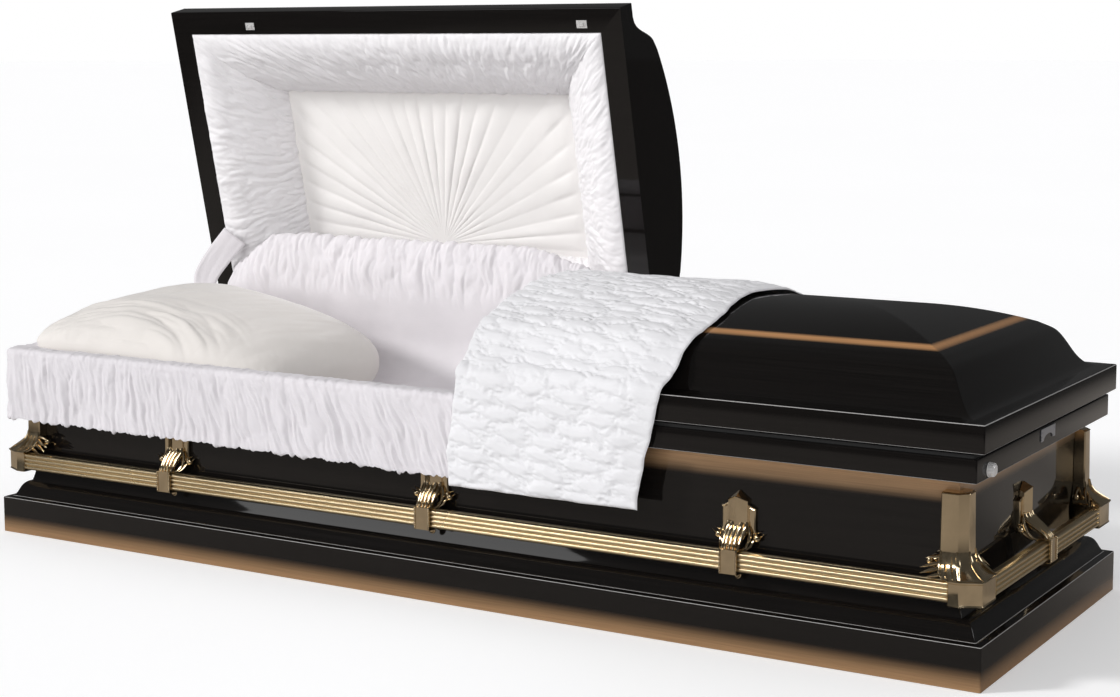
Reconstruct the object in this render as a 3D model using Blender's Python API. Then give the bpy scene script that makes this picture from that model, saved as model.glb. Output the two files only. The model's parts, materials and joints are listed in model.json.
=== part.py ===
"""Half-couch steel casket, about 2.13 m long.

Frame: X runs along the casket, head end at -X, foot end at +X. The front is -Y,
the hinge side is +Y, Z is up. The origin is the centre of the underside.
The head lid stands open, the foot lid is closed. Units are metres.
"""

import math

import bmesh
import bpy
from mathutils import Matrix, Vector

GAP = 0.0004  # clearance between pieces that meet

# base moulding
BASE_A, BASE_B = 1.0670, 0.3571  # half length, half width
BASE_BAND = 0.0728  # height of the upright band
BASE_LEDGE = 0.0141  # flat ledge on top of the band
BASE_TOP_INSET, BASE_TOP = 0.0366, 0.1035

# body
FLANGE_A, FLANGE_B = 1.0511, 0.3487
FLANGE_Z0, FLANGE_Z1 = 0.3294, 0.3681
FLANGE_WIDTH = 0.050
PANEL_A, PANEL_B = 1.0080, 0.3080
CREASE_Z = 0.177
WELL_A, WELL_B = 1.0000, 0.3000  # the part of the body inside the moulding
WALL = 0.0035

# lids
RIM_A, RIM_B = 1.0641, 0.3521
RIM_Z0, RIM_Z1 = 0.3780, 0.4245
RIM_WIDTH = 0.050
SPLIT = 0.1056  # the head lid ends here, the foot lid starts 3 mm further
SPLIT_GAP = 0.0030
LID_SKIN = 0.0035
SHOULDER_INSET = 0.1133  # where the flared side turns into the crown
CROWN_R, CROWN_APEX = 0.638, 0.5560
HINGE_Y, HINGE_Z = 0.3570, 0.3920
OPEN_ANGLE = 1.3518  # the head lid as it stands

# handle bars and castings
BAR_Z0, BAR_Z1 = 0.1350, 0.1690
BAR_FRONT, BAR_BACK = 0.3515, 0.3315  # faces of the long bars
BAR_END_OUT, BAR_END_IN = 1.0615, 1.0415
REEDS = 4
LUG_X = (-0.623, 0.0, 0.623)

# lining
BED_TOP = 0.2850
PANEL_DEPTH = 0.4900  # height of the head lid's pleated panel with the lid shut
APRON_TOP, APRON_HEM = 0.3885, 0.2380


def clear():
    for obj in list(bpy.data.objects):
        bpy.data.objects.remove(obj, do_unlink=True)


clear()
PARTS = bpy.data.collections.new("funeral_casket")
CUTTERS = bpy.data.collections.new("cutters")
bpy.context.scene.collection.children.link(PARTS)
bpy.context.scene.collection.children.link(CUTTERS)
CUTTERS.hide_render = True


def material(name, colour, roughness, metallic=0.0):
    mat = bpy.data.materials.new(name)
    mat.use_nodes = True
    shader = mat.node_tree.nodes["Principled BSDF"]
    shader.inputs["Base Color"].default_value = (*colour, 1.0)
    shader.inputs["Roughness"].default_value = roughness
    shader.inputs["Metallic"].default_value = metallic
    mat.diffuse_color = (*colour, 1.0)
    return mat


PAINT = (0.012, 0.010, 0.009)
GOLD = (0.78, 0.60, 0.34)
CLOTH = (0.86, 0.86, 0.88)
IVORY = (0.88, 0.86, 0.80)


def finish(bm, name, mat, parent=None):
    """Makes one closed object from bm, its faces pointing out."""
    bmesh.ops.remove_doubles(bm, verts=bm.verts, dist=1e-6)
    bmesh.ops.dissolve_degenerate(bm, dist=1e-7, edges=bm.edges)
    bmesh.ops.recalc_face_normals(bm, faces=bm.faces)
    if bm.calc_volume(signed=True) < 0:
        bmesh.ops.reverse_faces(bm, faces=bm.faces)
    if parent is not None:
        bmesh.ops.translate(bm, verts=bm.verts, vec=-parent.location)
    mesh = bpy.data.meshes.new(name)
    bm.to_mesh(mesh)
    bm.free()
    obj = bpy.data.objects.new(name, mesh)
    mesh.materials.append(mat)
    PARTS.objects.link(obj)
    if parent is not None:
        obj.parent = parent
    return obj


def loft(bm, rings, cap_first=False, cap_last=False, loop=False):
    """Joins rings of equally many points; loop joins the last ring to the first."""
    rows = [[bm.verts.new(p) for p in ring] for ring in rings]
    count = len(rows[0])
    pairs = list(zip(rows, rows[1:]))
    if loop:
        pairs.append((rows[-1], rows[0]))
    for low, high in pairs:
        for i in range(count):
            j = (i + 1) % count
            bm.faces.new((low[i], low[j], high[j], high[i]))
    if cap_first:
        bm.faces.new(rows[0])
    if cap_last:
        bm.faces.new(rows[-1])
    return rows


def rect(x0, x1, y0, y1, z):
    return [(x0, y0, z), (x1, y0, z), (x1, y1, z), (x0, y1, z)]


def level(a, b, z):
    return rect(-a, a, -b, b, z)


def box(bm, x0, x1, y0, y1, z0, z1):
    made = bmesh.ops.create_cube(bm, size=1.0)["verts"]
    for v in made:
        v.co.x = x0 + (v.co.x + 0.5) * (x1 - x0)
        v.co.y = y0 + (v.co.y + 0.5) * (y1 - y0)
        v.co.z = z0 + (v.co.z + 0.5) * (z1 - z0)
    return made


def extrude_section(bm, section, place, start, end):
    """A prism: section is (u, v) points, place(u, v, t) gives the point at t."""
    loft(bm, [[place(u, v, t) for u, v in section] for t in (start, end)], True, True)


def smoothstep(t):
    t = min(1.0, max(0.0, t))
    return t * t * (3 - 2 * t)


# ---------------------------------------------------------------- base and body
paint = material("gloss_paint_base", PAINT, 0.18)

OGEE = (
    (0.0, 0.0),
    (0.0, BASE_BAND - 0.0012),
    (0.0012, BASE_BAND),
    (BASE_LEDGE, BASE_BAND + 0.0012),
    (0.0172, 0.0766),
    (0.0205, 0.0820),
    (0.0238, 0.0892),
    (0.0275, 0.0958),
    (0.0318, 0.1005),
    (BASE_TOP_INSET, BASE_TOP),
)
bm = bmesh.new()
rings = [level(BASE_A - d, BASE_B - d, z) for d, z in OGEE]
rings += [level(WELL_A + GAP, WELL_B + GAP, BASE_TOP), level(WELL_A + GAP, WELL_B + GAP, 0.0)]
loft(bm, rings, loop=True)
finish(bm, "base_moulding", paint)

paint = material("gloss_paint_body", PAINT, 0.18)
FLARE = ((0.0, CREASE_Z), (0.0030, 0.148), (0.0075, 0.122), (0.0125, BASE_TOP + GAP))
bm = bmesh.new()
rings = [
    level(WELL_A, WELL_B, 0.0),
    level(WELL_A, WELL_B, BASE_TOP + GAP),
]
rings += [level(PANEL_A + d, PANEL_B + d, z) for d, z in reversed(FLARE)]
rings += [
    level(PANEL_A, PANEL_B, FLANGE_Z0),
    level(FLANGE_A, FLANGE_B, FLANGE_Z0),
    level(FLANGE_A, FLANGE_B, FLANGE_Z1),
    level(FLANGE_A - FLANGE_WIDTH, FLANGE_B - FLANGE_WIDTH, FLANGE_Z1),
    level(FLANGE_A - FLANGE_WIDTH, FLANGE_B - FLANGE_WIDTH, FLANGE_Z0 - WALL),
    level(PANEL_A - WALL, PANEL_B - WALL, FLANGE_Z0 - WALL),
    level(PANEL_A - WALL, PANEL_B - WALL, CREASE_Z),
    level(WELL_A - WALL, WELL_B - WALL, 0.150),
    level(WELL_A - WALL, WELL_B - WALL, WALL),
]
loft(bm, rings, cap_first=True, cap_last=True)
finish(bm, "body_shell", paint)

# soft seal on the body's flange, under the lids' rims
GASKET_Z1 = FLANGE_Z1 + 0.0064
bm = bmesh.new()
rings = [
    level(FLANGE_A - d, FLANGE_B - d, z)
    for d, z in (
        (0.006, FLANGE_Z1 + GAP),
        (0.006, GASKET_Z1 - 0.001),
        (0.007, GASKET_Z1),
        (0.014, GASKET_Z1),
        (0.015, GASKET_Z1 - 0.001),
        (0.015, FLANGE_Z1 + GAP),
    )
]
loft(bm, rings, loop=True)
finish(bm, "rim_gasket", material("seal_rubber", (0.02, 0.02, 0.02), 0.7))

# ---------------------------------------------------------------- lids
HEAD = bpy.data.objects.new("head_lid_hinge", None)
HEAD.location = (0.0, HINGE_Y, HINGE_Z)
HEAD.rotation_euler = (-OPEN_ANGLE, 0.0, 0.0)
PARTS.objects.link(HEAD)
FOOT = bpy.data.objects.new("foot_lid_hinge", None)
FOOT.location = (0.0, HINGE_Y, HINGE_Z)
PARTS.objects.link(FOOT)


def crown(inset):
    """Height of the crown's arc at a distance in from the rim."""
    y = RIM_B - inset
    return CROWN_APEX - CROWN_R + math.sqrt(CROWN_R**2 - y * y)


CROWN_STEPS = (0.1375, 0.175, 0.220, 0.265, 0.310, RIM_B)
LID_OUT = [
    (0.0, RIM_Z0),
    (0.0, RIM_Z1 - 0.0012),
    (0.0012, RIM_Z1),
    (0.0300, RIM_Z1 + 0.0004),
    (0.0410, 0.4282),
    (0.0480, 0.4336),
    (0.0554, 0.4420),
    (0.0625, 0.4530),
    (0.0698, 0.4665),
    (0.0760, 0.4775),
    (0.0820, 0.4868),
    (0.0880, 0.4938),
    (0.0948, 0.4990),
    (SHOULDER_INSET, crown(SHOULDER_INSET)),
] + [(d, crown(d)) for d in CROWN_STEPS]
LID_IN = [
    (RIM_WIDTH, RIM_Z0),
    (RIM_WIDTH, 0.4245),
    (0.0600, 0.4380),
    (0.0735, 0.4640),
    (0.0830, 0.4810),
    (0.0960, 0.4935),
    (SHOULDER_INSET + 0.001, crown(SHOULDER_INSET) - LID_SKIN),
] + [(d, crown(d) - LID_SKIN) for d in CROWN_STEPS]


def lid_ring(inset, z, side, end):
    """One level of a lid: side -1 is the head lid, +1 the foot lid, end the plane that closes it."""
    b = RIM_B - inset
    far = side * (RIM_A - inset)
    return rect(min(far, end), max(far, end), -b, b, z)


def lid(name, side, end, parent, mat):
    bm = bmesh.new()
    rings = [lid_ring(d, z, side, end) for d, z in reversed(LID_OUT)]
    for i, (d, z) in enumerate(LID_IN):
        back = RIM_WIDTH if i < 2 else LID_SKIN
        rings.append(lid_ring(d, z, side, end + side * back))
    loft(bm, rings)
    return finish(bm, name, mat, parent)


lid("head_lid_shell", -1, SPLIT, HEAD, material("gloss_paint_head_lid", PAINT, 0.18))
lid("foot_lid_shell", 1, SPLIT + SPLIT_GAP, FOOT, material("gloss_paint_foot_lid", PAINT, 0.18))


def catch(name, x):
    """Striker plate under the front of the head lid's rim, with its small raised tongue."""
    bm = bmesh.new()
    y = -RIM_B + 0.0326
    box(bm, x - 0.012, x + 0.012, y - 0.008, y + 0.008, RIM_Z0 - 0.0020, RIM_Z0 - 0.0003)
    plate = finish(bm, name, material(name + "_steel", (0.75, 0.75, 0.76), 0.2, 1.0), HEAD)
    bm = bmesh.new()
    rings = [
        rect(x - w, x + w, y - d, y + d, z)
        for w, d, z in (
            (0.0055, 0.0040, RIM_Z0 - 0.0015),
            (0.0055, 0.0035, RIM_Z0 - 0.0040),
            (0.0035, 0.0020, RIM_Z0 - 0.0052),
        )
    ]
    loft(bm, rings, True, True)
    join(plate, bm, HEAD)
    return plate


def join(target, bm, parent=None):
    """Unites the closed mesh in bm with target."""
    bmesh.ops.recalc_face_normals(bm, faces=bm.faces)
    if bm.calc_volume(signed=True) < 0:
        bmesh.ops.reverse_faces(bm, faces=bm.faces)
    if parent is not None:
        bmesh.ops.translate(bm, verts=bm.verts, vec=-parent.location)
    mesh = bpy.data.meshes.new(target.name + "_add")
    bm.to_mesh(mesh)
    bm.free()
    tool = bpy.data.objects.new(target.name + "_add", mesh)
    CUTTERS.objects.link(tool)
    tool.hide_render = True
    tool.display_type = "WIRE"
    if parent is not None:
        tool.parent = parent
    mod = target.modifiers.new("join", "BOOLEAN")
    mod.operation = "UNION"
    mod.solver = "EXACT"
    mod.object = tool


catch("lid_catch_left", -0.839)
catch("lid_catch_right", 0.014)

# ---------------------------------------------------------------- hinges
KNUCKLE_R, PIN_R, BORE_R = 0.0042, 0.0020, 0.0025
steel = (0.55, 0.55, 0.56)


def rod(bm, x0, x1, radius, sides=10):
    """A round bar along the hinge axis."""
    turn = Matrix.Translation(((x0 + x1) / 2, HINGE_Y, HINGE_Z)) @ Matrix.Rotation(math.pi / 2, 4, "Y")
    bmesh.ops.create_cone(
        bm, cap_ends=True, segments=sides, radius1=radius, radius2=radius, depth=x1 - x0, matrix=turn
    )


def hinge(name, x, parent):
    """Body leaf with two outer knuckles and the pin; lid leaf with the bored middle knuckle."""
    half, third = 0.036, 0.0125
    mat = material(name + "_steel", steel, 0.35, 1.0)
    leaf = [
        (FLANGE_B + GAP, 0.3350),
        (HINGE_Y - 0.0025, 0.3350),
        (HINGE_Y - 0.0025, HINGE_Z),
        (HINGE_Y - 0.0041, HINGE_Z),
        (HINGE_Y - 0.0041, 0.3740),
        (FLANGE_B + GAP, 0.3740),
    ]
    bm = bmesh.new()
    extrude_section(bm, leaf[:2] + [(HINGE_Y - 0.0025, 0.3740), leaf[5]], lambda u, v, t: (t, u, v), x - half, x + half)
    body = finish(bm, name + "_body_leaf", mat)
    for x0, x1 in ((x - half, x - third - 0.0004), (x + third + 0.0004, x + half)):
        bm = bmesh.new()
        box(bm, x0, x1, HINGE_Y - 0.0041, HINGE_Y - 0.0025, 0.3730, HINGE_Z)
        join(body, bm)
        bm = bmesh.new()
        rod(bm, x0, x1, KNUCKLE_R)
        join(body, bm)
    bm = bmesh.new()
    rod(bm, x - half + 0.002, x + half - 0.002, PIN_R, 6)
    join(body, bm)

    # The lid leaf's upper plate lies on the rim and turns down to the middle knuckle.
    bm = bmesh.new()
    box(bm, x - half, x + half, RIM_B + GAP, RIM_B + 0.0019, HINGE_Z + 0.0050, 0.4220)
    leaf_obj = finish(bm, name + "_lid_leaf", mat, parent)
    bm = bmesh.new()
    box(bm, x - third, x + third, RIM_B + GAP + 0.0002, RIM_B + 0.0019, HINGE_Z, HINGE_Z + 0.0080)
    join(leaf_obj, bm, parent)
    bm = bmesh.new()
    rod(bm, x - third, x + third, KNUCKLE_R)
    join(leaf_obj, bm, parent)
    bm = bmesh.new()
    rod(bm, x - third - 0.01, x + third + 0.01, BORE_R, 8)
    mesh = bpy.data.meshes.new(name + "_bore")
    bmesh.ops.translate(bm, verts=bm.verts, vec=-parent.location)
    bmesh.ops.recalc_face_normals(bm, faces=bm.faces)
    bm.to_mesh(mesh)
    bm.free()
    cutter = bpy.data.objects.new(name + "_bore", mesh)
    CUTTERS.objects.link(cutter)
    cutter.parent = parent
    cutter.hide_render = True
    cutter.display_type = "WIRE"
    mod = leaf_obj.modifiers.new("bore", "BOOLEAN")
    mod.operation = "DIFFERENCE"
    mod.solver = "EXACT"
    mod.object = cutter


for hinge_name, hinge_x, lid_parent in (
    ("hinge_head_1", -0.850, HEAD),
    ("hinge_head_2", -0.110, HEAD),
    ("hinge_foot_1", 0.330, FOOT),
    ("hinge_foot_2", 0.850, FOOT),
):
    hinge(hinge_name, hinge_x, lid_parent)

# ---------------------------------------------------------------- handle bars
def bar_section(out, back):
    """Reeded front, flat top, bottom and back: (distance out, height)."""
    pts = [(back, BAR_Z0 + 0.001), (back, BAR_Z1 - 0.001), (back + 0.001, BAR_Z1), (out - 0.004, BAR_Z1)]
    pitch = (BAR_Z1 - BAR_Z0) / REEDS
    for k in range(REEDS):
        top = BAR_Z1 - k * pitch
        for s, depth in ((0.10, 0.0024), (0.35, 0.0), (0.65, 0.0), (0.90, 0.0024)):
            pts.append((out - depth, top - s * pitch))
    pts += [(out - 0.004, BAR_Z0), (back + 0.001, BAR_Z0)]
    return pts


FOOT_A, FOOT_B = 1.0125, 0.2815  # the corner castings' feet start here along each side


def bar(name, place, length):
    bm = bmesh.new()
    extrude_section(bm, place[0], place[1], -length, length)
    finish(bm, name, material(name + "_gold", GOLD, 0.28, 1.0))


LONG = bar_section(BAR_FRONT, BAR_BACK)
SHORT = bar_section(BAR_END_OUT, BAR_END_IN)
bar("handle_bar_front", (LONG, lambda u, v, t: (t, -u, v)), FOOT_A - 0.006)
bar("handle_bar_back", (LONG, lambda u, v, t: (t, u, v)), FOOT_A - 0.006)
bar("handle_bar_foot", (SHORT, lambda u, v, t: (u, t, v)), FOOT_B - 0.006)
bar("handle_bar_head", (SHORT, lambda u, v, t: (-u, t, v)), FOOT_B - 0.006)

# ---------------------------------------------------------------- lugs
LUG_HALF, LUG_CENTRE = 0.031, 0.018
LUG_DEPTH, LUG_EDGE, LUG_SIDE = 0.0185, 0.0095, 0.0070
LUG_TOP = 0.2660
SLEEVE = 0.0165  # half width of the clasp round the bar


def lug(name, place, reach):
    """Stepped crystal plate, ball knobs, curved arm and a clasp round the bar.

    place(s, out, z) puts a point s along the side, out from the panel; reach is how
    far the bar's outer face stands from the panel.
    """
    mat = material(name + "_gold", (0.80, 0.66, 0.42), 0.10, 1.0)

    def put(bm):
        for v in bm.verts:
            v.co = Vector(place(*v.co))

    # side steps, their tops falling outwards
    bm = bmesh.new()
    low, high = 0.1860, LUG_TOP - 0.0235
    right = [(0.0350, low), (0.0350, low + 0.006), (LUG_HALF, low + 0.016), (LUG_HALF, high - 0.0055)]
    outline = right + [(0, high + 0.006)] + [(-s, z) for s, z in reversed(right)]
    right = [(s - 0.0015, z + 0.0012) for s, z in right[:3]] + [(LUG_HALF - 0.0015, high - 0.0078)]
    face = right + [(0, high + 0.0035)] + [(-s, z) for s, z in reversed(right)]
    loft(
        bm,
        [[(s, GAP, z) for s, z in outline], [(s, LUG_SIDE - 0.0015, z) for s, z in outline], [(s, LUG_SIDE, z) for s, z in face]],
        True,
        True,
    )
    put(bm)
    plate = finish(bm, name, mat)

    # centre crystal: five-sided, with a ridge down its front and a roofed top
    back = 2.5 * GAP
    section = [(-LUG_CENTRE, back), (-LUG_CENTRE, LUG_EDGE), (0.0, LUG_DEPTH), (LUG_CENTRE, LUG_EDGE), (LUG_CENTRE, back)]
    tops = [LUG_TOP - 0.0135, LUG_TOP - 0.0165, LUG_TOP - 0.0080, LUG_TOP - 0.0165, LUG_TOP - 0.0135]
    bm = bmesh.new()
    rows = loft(
        bm,
        [
            [(s, o, 0.200) for s, o in section],
            [(s, o, z) for (s, o), z in zip(section, tops)],
        ],
        cap_first=True,
    )
    top = rows[-1]
    apex = bm.verts.new((0.0, back, LUG_TOP))
    for i in range(4):
        bm.faces.new((top[i], top[i + 1], apex))
    bm.faces.new((top[4], top[0], apex))
    put(bm)
    join(plate, bm)

    # arm: a ribbed strap that sweeps out and down to the clasp
    bm = bmesh.new()
    path = []
    for k in range(6):
        t = k / 5
        out = LUG_EDGE + (reach - 0.004 - LUG_EDGE) * smoothstep(t) ** 1.15
        z = 0.2080 + (BAR_Z1 + 0.0022 - 0.2080) * t
        width = 0.0152 + 0.0050 * (1 - t) ** 2 - 0.0020 * math.sin(math.pi * t)
        path.append((out, z, width, 0.0105 - 0.004 * t))
    rings = []
    for out, z, w, thick in path:
        rear = max(out - thick, 3 * GAP)
        rings.append(
            [
                (-w, rear, z),
                (-w, out - 0.002, z),
                (-w * 0.45, out + 0.0030, z),
                (w * 0.45, out + 0.0030, z),
                (w, out - 0.002, z),
                (w, rear, z),
            ]
        )
    loft(bm, rings, True, True)
    put(bm)
    join(plate, bm)

    # clasp: a rectangular sleeve, open along the bar
    inner = (reach - 0.0200 - 0.0006, reach + 0.0006, BAR_Z0 - 0.0006, BAR_Z1 + 0.0006)
    outer = (inner[0] - 0.0030, inner[1] + 0.0030, inner[2] - 0.0030, inner[3] + 0.0030)

    def frame(s, lims):
        o0, o1, z0, z1 = lims
        return [(s, o0, z0), (s, o1, z0), (s, o1, z1), (s, o0, z1)]

    bm = bmesh.new()
    loft(bm, [frame(-SLEEVE, inner), frame(-SLEEVE, outer), frame(SLEEVE, outer), frame(SLEEVE, inner)], loop=True)
    put(bm)
    join(plate, bm)

    # ball knobs at the plate's lower corners and one under the clasp
    for s, o, z, r in (
        (-LUG_HALF - 0.0050, 0.0080, 0.1880, 0.0068),
        (LUG_HALF + 0.0050, 0.0080, 0.1880, 0.0068),
        (0.0070, inner[0] + 0.001, outer[2] - 0.0042, 0.0058),
    ):
        bm = bmesh.new()
        bmesh.ops.create_uvsphere(bm, u_segments=6, v_segments=4, radius=r)
        bmesh.ops.translate(bm, verts=bm.verts, vec=(s, o, z))
        put(bm)
        join(plate, bm)
    return plate


REACH = BAR_FRONT - PANEL_B
END_REACH = BAR_END_OUT - PANEL_A
for i, lug_x in enumerate(LUG_X):
    lug(f"lug_front_{i + 1}", lambda s, o, z, c=lug_x: (c + s, -PANEL_B - o, z), REACH)
    lug(f"lug_back_{i + 1}", lambda s, o, z, c=lug_x: (c - s, PANEL_B + o, z), REACH)
lug("lug_foot", lambda s, o, z: (PANEL_A + o, s, z), END_REACH)
lug("lug_head", lambda s, o, z: (-PANEL_A - o, -s, z), END_REACH)


# ---------------------------------------------------------------- corner castings
def corner(name, sx, sy):
    """Five-sided column on the corner, flaring to a foot that holds both bars.

    Worked out for the +X, -Y corner and mirrored by the signs sx and sy.
    """
    levels = (
        # z, outer face out, inner face out, reach back along the side, along the end, chamfer along each
        (0.3080, 0.0120, 0.0005, 0.0215, 0.0205, 0.0080, 0.0080),
        (0.3055, 0.0205, 0.0005, 0.0225, 0.0215, 0.0145, 0.0145),
        (0.2450, 0.0215, 0.0005, 0.0230, 0.0220, 0.0145, 0.0145),
        (0.2080, 0.0222, 0.0005, 0.0235, 0.0235, 0.0150, 0.0150),
        (0.1980, 0.0245, 0.0010, 0.0235, 0.0250, 0.0165, 0.0155),
        (0.1890, 0.0295, 0.0010, 0.0225, 0.0270, 0.0200, 0.0160),
        (0.1810, 0.0370, 0.0015, 0.0200, 0.0290, 0.0260, 0.0160),
        (0.1735, 0.0455, 0.0022, 0.0115, 0.0300, 0.0330, 0.0165),
        (0.1710, 0.0465, 0.0030, 0.0, 0.0, 0.0340, 0.0170),
        (0.1315, 0.0465, 0.0085, 0.0, 0.0, 0.0340, 0.0170),
    )
    bm = bmesh.new()
    rings = []
    for z, out, inn, along, across, cut_x, cut_y in levels:
        xo, yo = PANEL_A + out + (0.0070 if out > 0.04 else 0.0065 * max(0.0, (out - 0.022) / 0.0235)), PANEL_B + out
        xi, yi = PANEL_A + inn, PANEL_B + inn
        # the foot's outer face meets the end bar's
        x_start, y_start = PANEL_A - along, PANEL_B - across
        if z < 0.173:
            x_start, y_start = FOOT_A - 0.0055, FOOT_B - 0.0055
        ring = [
            (x_start, yi),
            (x_start, yo - 0.0015),
            (x_start + 0.0015, yo),
            (xo - cut_x, yo),
            (xo, yo - cut_y),
            (xo, y_start + 0.0015),
            (xo - 0.0015, y_start),
            (xi, y_start),
            (xi, yi),
        ]
        rings.append([(sx * x, sy * y, z) for x, y in ring])
    loft(bm, rings, True, True)
    post = finish(bm, name, material(name + "_gold", (0.80, 0.66, 0.42), 0.10, 1.0))
    # wing and knob on each side of the flare
    for s, o, z, r, side in (
        (PANEL_A - 0.0400, 0.0140, 0.1930, 0.0066, "long"),
        (PANEL_B - 0.0480, 0.0140, 0.1900, 0.0066, "end"),
    ):
        bm = bmesh.new()
        bmesh.ops.create_uvsphere(bm, u_segments=6, v_segments=4, radius=r)
        centre = (sx * s, sy * (PANEL_B + o), z) if side == "long" else (sx * (PANEL_A + o), sy * s, z)
        bmesh.ops.translate(bm, verts=bm.verts, vec=centre)
        join(post, bm)
        bm = bmesh.new()
        if side == "long":
            fin = [(s + 0.026, 0.2040), (s + 0.001, 0.1990), (s - 0.005, 0.1880), (s + 0.012, 0.1775), (s + 0.036, 0.1800)]
            y0, y1 = PANEL_B + 0.0120, PANEL_B + 0.0300
            loft(bm, [[(sx * x, sy * y, zz) for x, zz in fin] for y in (y0, y1)], True, True)
        else:
            fin = [(s + 0.034, 0.2040), (s + 0.002, 0.1950), (s - 0.006, 0.1840), (s + 0.008, 0.1760), (s + 0.044, 0.1800)]
            x0, x1 = PANEL_A + 0.0120, PANEL_A + 0.0300
            loft(bm, [[(sx * x, sy * y, zz) for y, zz in fin] for x in (x0, x1)], True, True)
        join(post, bm)
    return post


corner("corner_front_foot", 1, -1)
corner("corner_back_foot", 1, 1)
corner("corner_front_head", -1, -1)
corner("corner_back_head", -1, 1)

# ---------------------------------------------------------------- small fittings on the foot end
bm = bmesh.new()
turn = Matrix.Translation((FLANGE_A + GAP + 0.0060, -0.2950, 0.3440)) @ Matrix.Rotation(math.pi / 2, 4, "Y")
bmesh.ops.create_cone(bm, cap_ends=True, segments=20, radius1=0.0122, radius2=0.0100, depth=0.0120, matrix=turn)
finish(bm, "tube_cap", material("tube_cap_steel", (0.78, 0.78, 0.78), 0.15, 1.0))

bm = bmesh.new()
y0, y1, z0, z1 = -0.0410, 0.0310, 0.3440, 0.3655
arch = [(y0, z1), (y0, z0)]
for k in range(9):
    a = math.pi * k / 8
    arch.append((-0.005 - 0.024 * math.cos(a), z0 + 0.0005 + 0.0095 * math.sin(a)))
arch += [(y1, z0), (y1, z1)]
extrude_section(bm, arch, lambda u, v, t: (t, u, v), FLANGE_A + GAP, FLANGE_A + 0.0022)
finish(bm, "end_plate", material("end_plate_steel", (0.62, 0.62, 0.64), 0.35, 1.0))


# ---------------------------------------------------------------- lining in the body
def rounded(a, b, z, r, steps=2):
    """A level whose corners are cut round."""
    pts = []
    for cx, cy, start in ((-1, -1, 180), (1, -1, 270), (1, 1, 0), (-1, 1, 90)):
        for k in range(steps + 1):
            ang = math.radians(start + 90 * k / steps)
            pts.append((cx * (a - r) + r * math.cos(ang), cy * (b - r) + r * math.sin(ang), z))
    return pts


bm = bmesh.new()
rings = [
    rounded(0.9860, 0.2880, WALL + GAP, 0.030),
    rounded(0.9860, 0.2880, BED_TOP - 0.020, 0.030),
    rounded(0.9800, 0.2820, BED_TOP - 0.006, 0.028),
    rounded(0.9650, 0.2680, BED_TOP, 0.020),
]
loft(bm, rings, True, True)
finish(bm, "mattress", material("mattress_cloth", CLOTH, 0.8))

bm = bmesh.new()
rings = [
    level(1.0003, 0.2981, BED_TOP + 0.0008),
    level(1.0003, 0.2981, FLANGE_Z1 - 0.0010),
    level(0.9950, 0.2930, FLANGE_Z1 - 0.0005),
    level(0.9880, 0.2860, FLANGE_Z1 - 0.0080),
    level(0.9850, 0.2830, 0.3350),
    level(0.9870, 0.2850, BED_TOP + 0.0008),
]
loft(bm, rings, loop=True)
finish(bm, "wall_lining", material("wall_lining_cloth", CLOTH, 0.6))


def apron(name, section, place, start, end, pleats, swell):
    """Gathered cloth over the rim. section gives (out, z, how far the pleats push that point out)."""
    bm = bmesh.new()
    rings = []
    count = pleats * 2
    for k in range(count + 1):
        t = start + (end - start) * k / count
        ridge = swell * (0.75 + 0.25 * math.sin(2.4 * k)) if k % 2 else 0.0
        rings.append([place(o + ridge * push, z - ridge * lift, t) for o, z, push, lift in section(t)])
    loft(bm, rings, True, True)
    return finish(bm, name, material(name + "_cloth", CLOTH, 0.55))


def front_section(t):
    f = FLANGE_B
    return [
        (f - 0.0485, GASKET_Z1 + GAP, 0.0, 0.0),
        (f + GAP, GASKET_Z1 + GAP, 0.0, 0.0),
        (f + GAP, APRON_HEM + 0.001, 0.0, 0.0),
        (f + 0.0050, APRON_HEM, 0.4, 0.4),
        (f + 0.0072, APRON_HEM + 0.008, 1.0, 0.0),
        (f + 0.0068, 0.3400, 1.0, 0.0),
        (f + 0.0060, 0.3760, 1.0, 0.0),
        (f + 0.0010, APRON_TOP - 0.0035, 0.5, 0.0),
        (f - 0.0100, APRON_TOP, 0.0, 0.5),
        (f - 0.0350, APRON_TOP - 0.0020, 0.0, 0.5),
        (f - 0.0478, GASKET_Z1 + 0.0060, 0.0, 0.0),
    ]


apron("apron_front", front_section, lambda o, z, t: (t, -o, z), -FLANGE_A - 0.0070, 0.1000, 12, 0.0035)


def head_section(t):
    """The same cloth round the head end, thinner towards the hinges where the lid comes down closest."""
    f = FLANGE_A
    top = min(APRON_TOP - 0.001, GASKET_Z1 + 0.0052 + (0.200 - t) * 0.0262)
    return [
        (f - 0.0485, GASKET_Z1 + GAP, 0.0, 0.0),
        (f + GAP, GASKET_Z1 + GAP, 0.0, 0.0),
        (f + GAP, APRON_HEM + 0.001, 0.0, 0.0),
        (f + 0.0050, APRON_HEM, 0.4, 0.4),
        (f + 0.0066, APRON_HEM + 0.008, 1.0, 0.0),
        (f + 0.0062, 0.3400, 1.0, 0.0),
        (f + 0.0050, 0.3740, 0.7, 0.0),
        (f + 0.0005, top - 0.0030, 0.3, 0.0),
        (f - 0.0100, top, 0.0, 0.2),
        (f - 0.0350, top - 0.0010, 0.0, 0.2),
        (f - 0.0478, GASKET_Z1 + 0.0025, 0.0, 0.0),
    ]


apron("apron_head_end", head_section, lambda o, z, t: (-o, t, z), -0.2980, 0.2000, 5, 0.0030)


# ---------------------------------------------------------------- pillow
PILLOW_X, PILLOW_Y = (-1.0250, -0.4050), (-0.3020, 0.2320)


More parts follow.
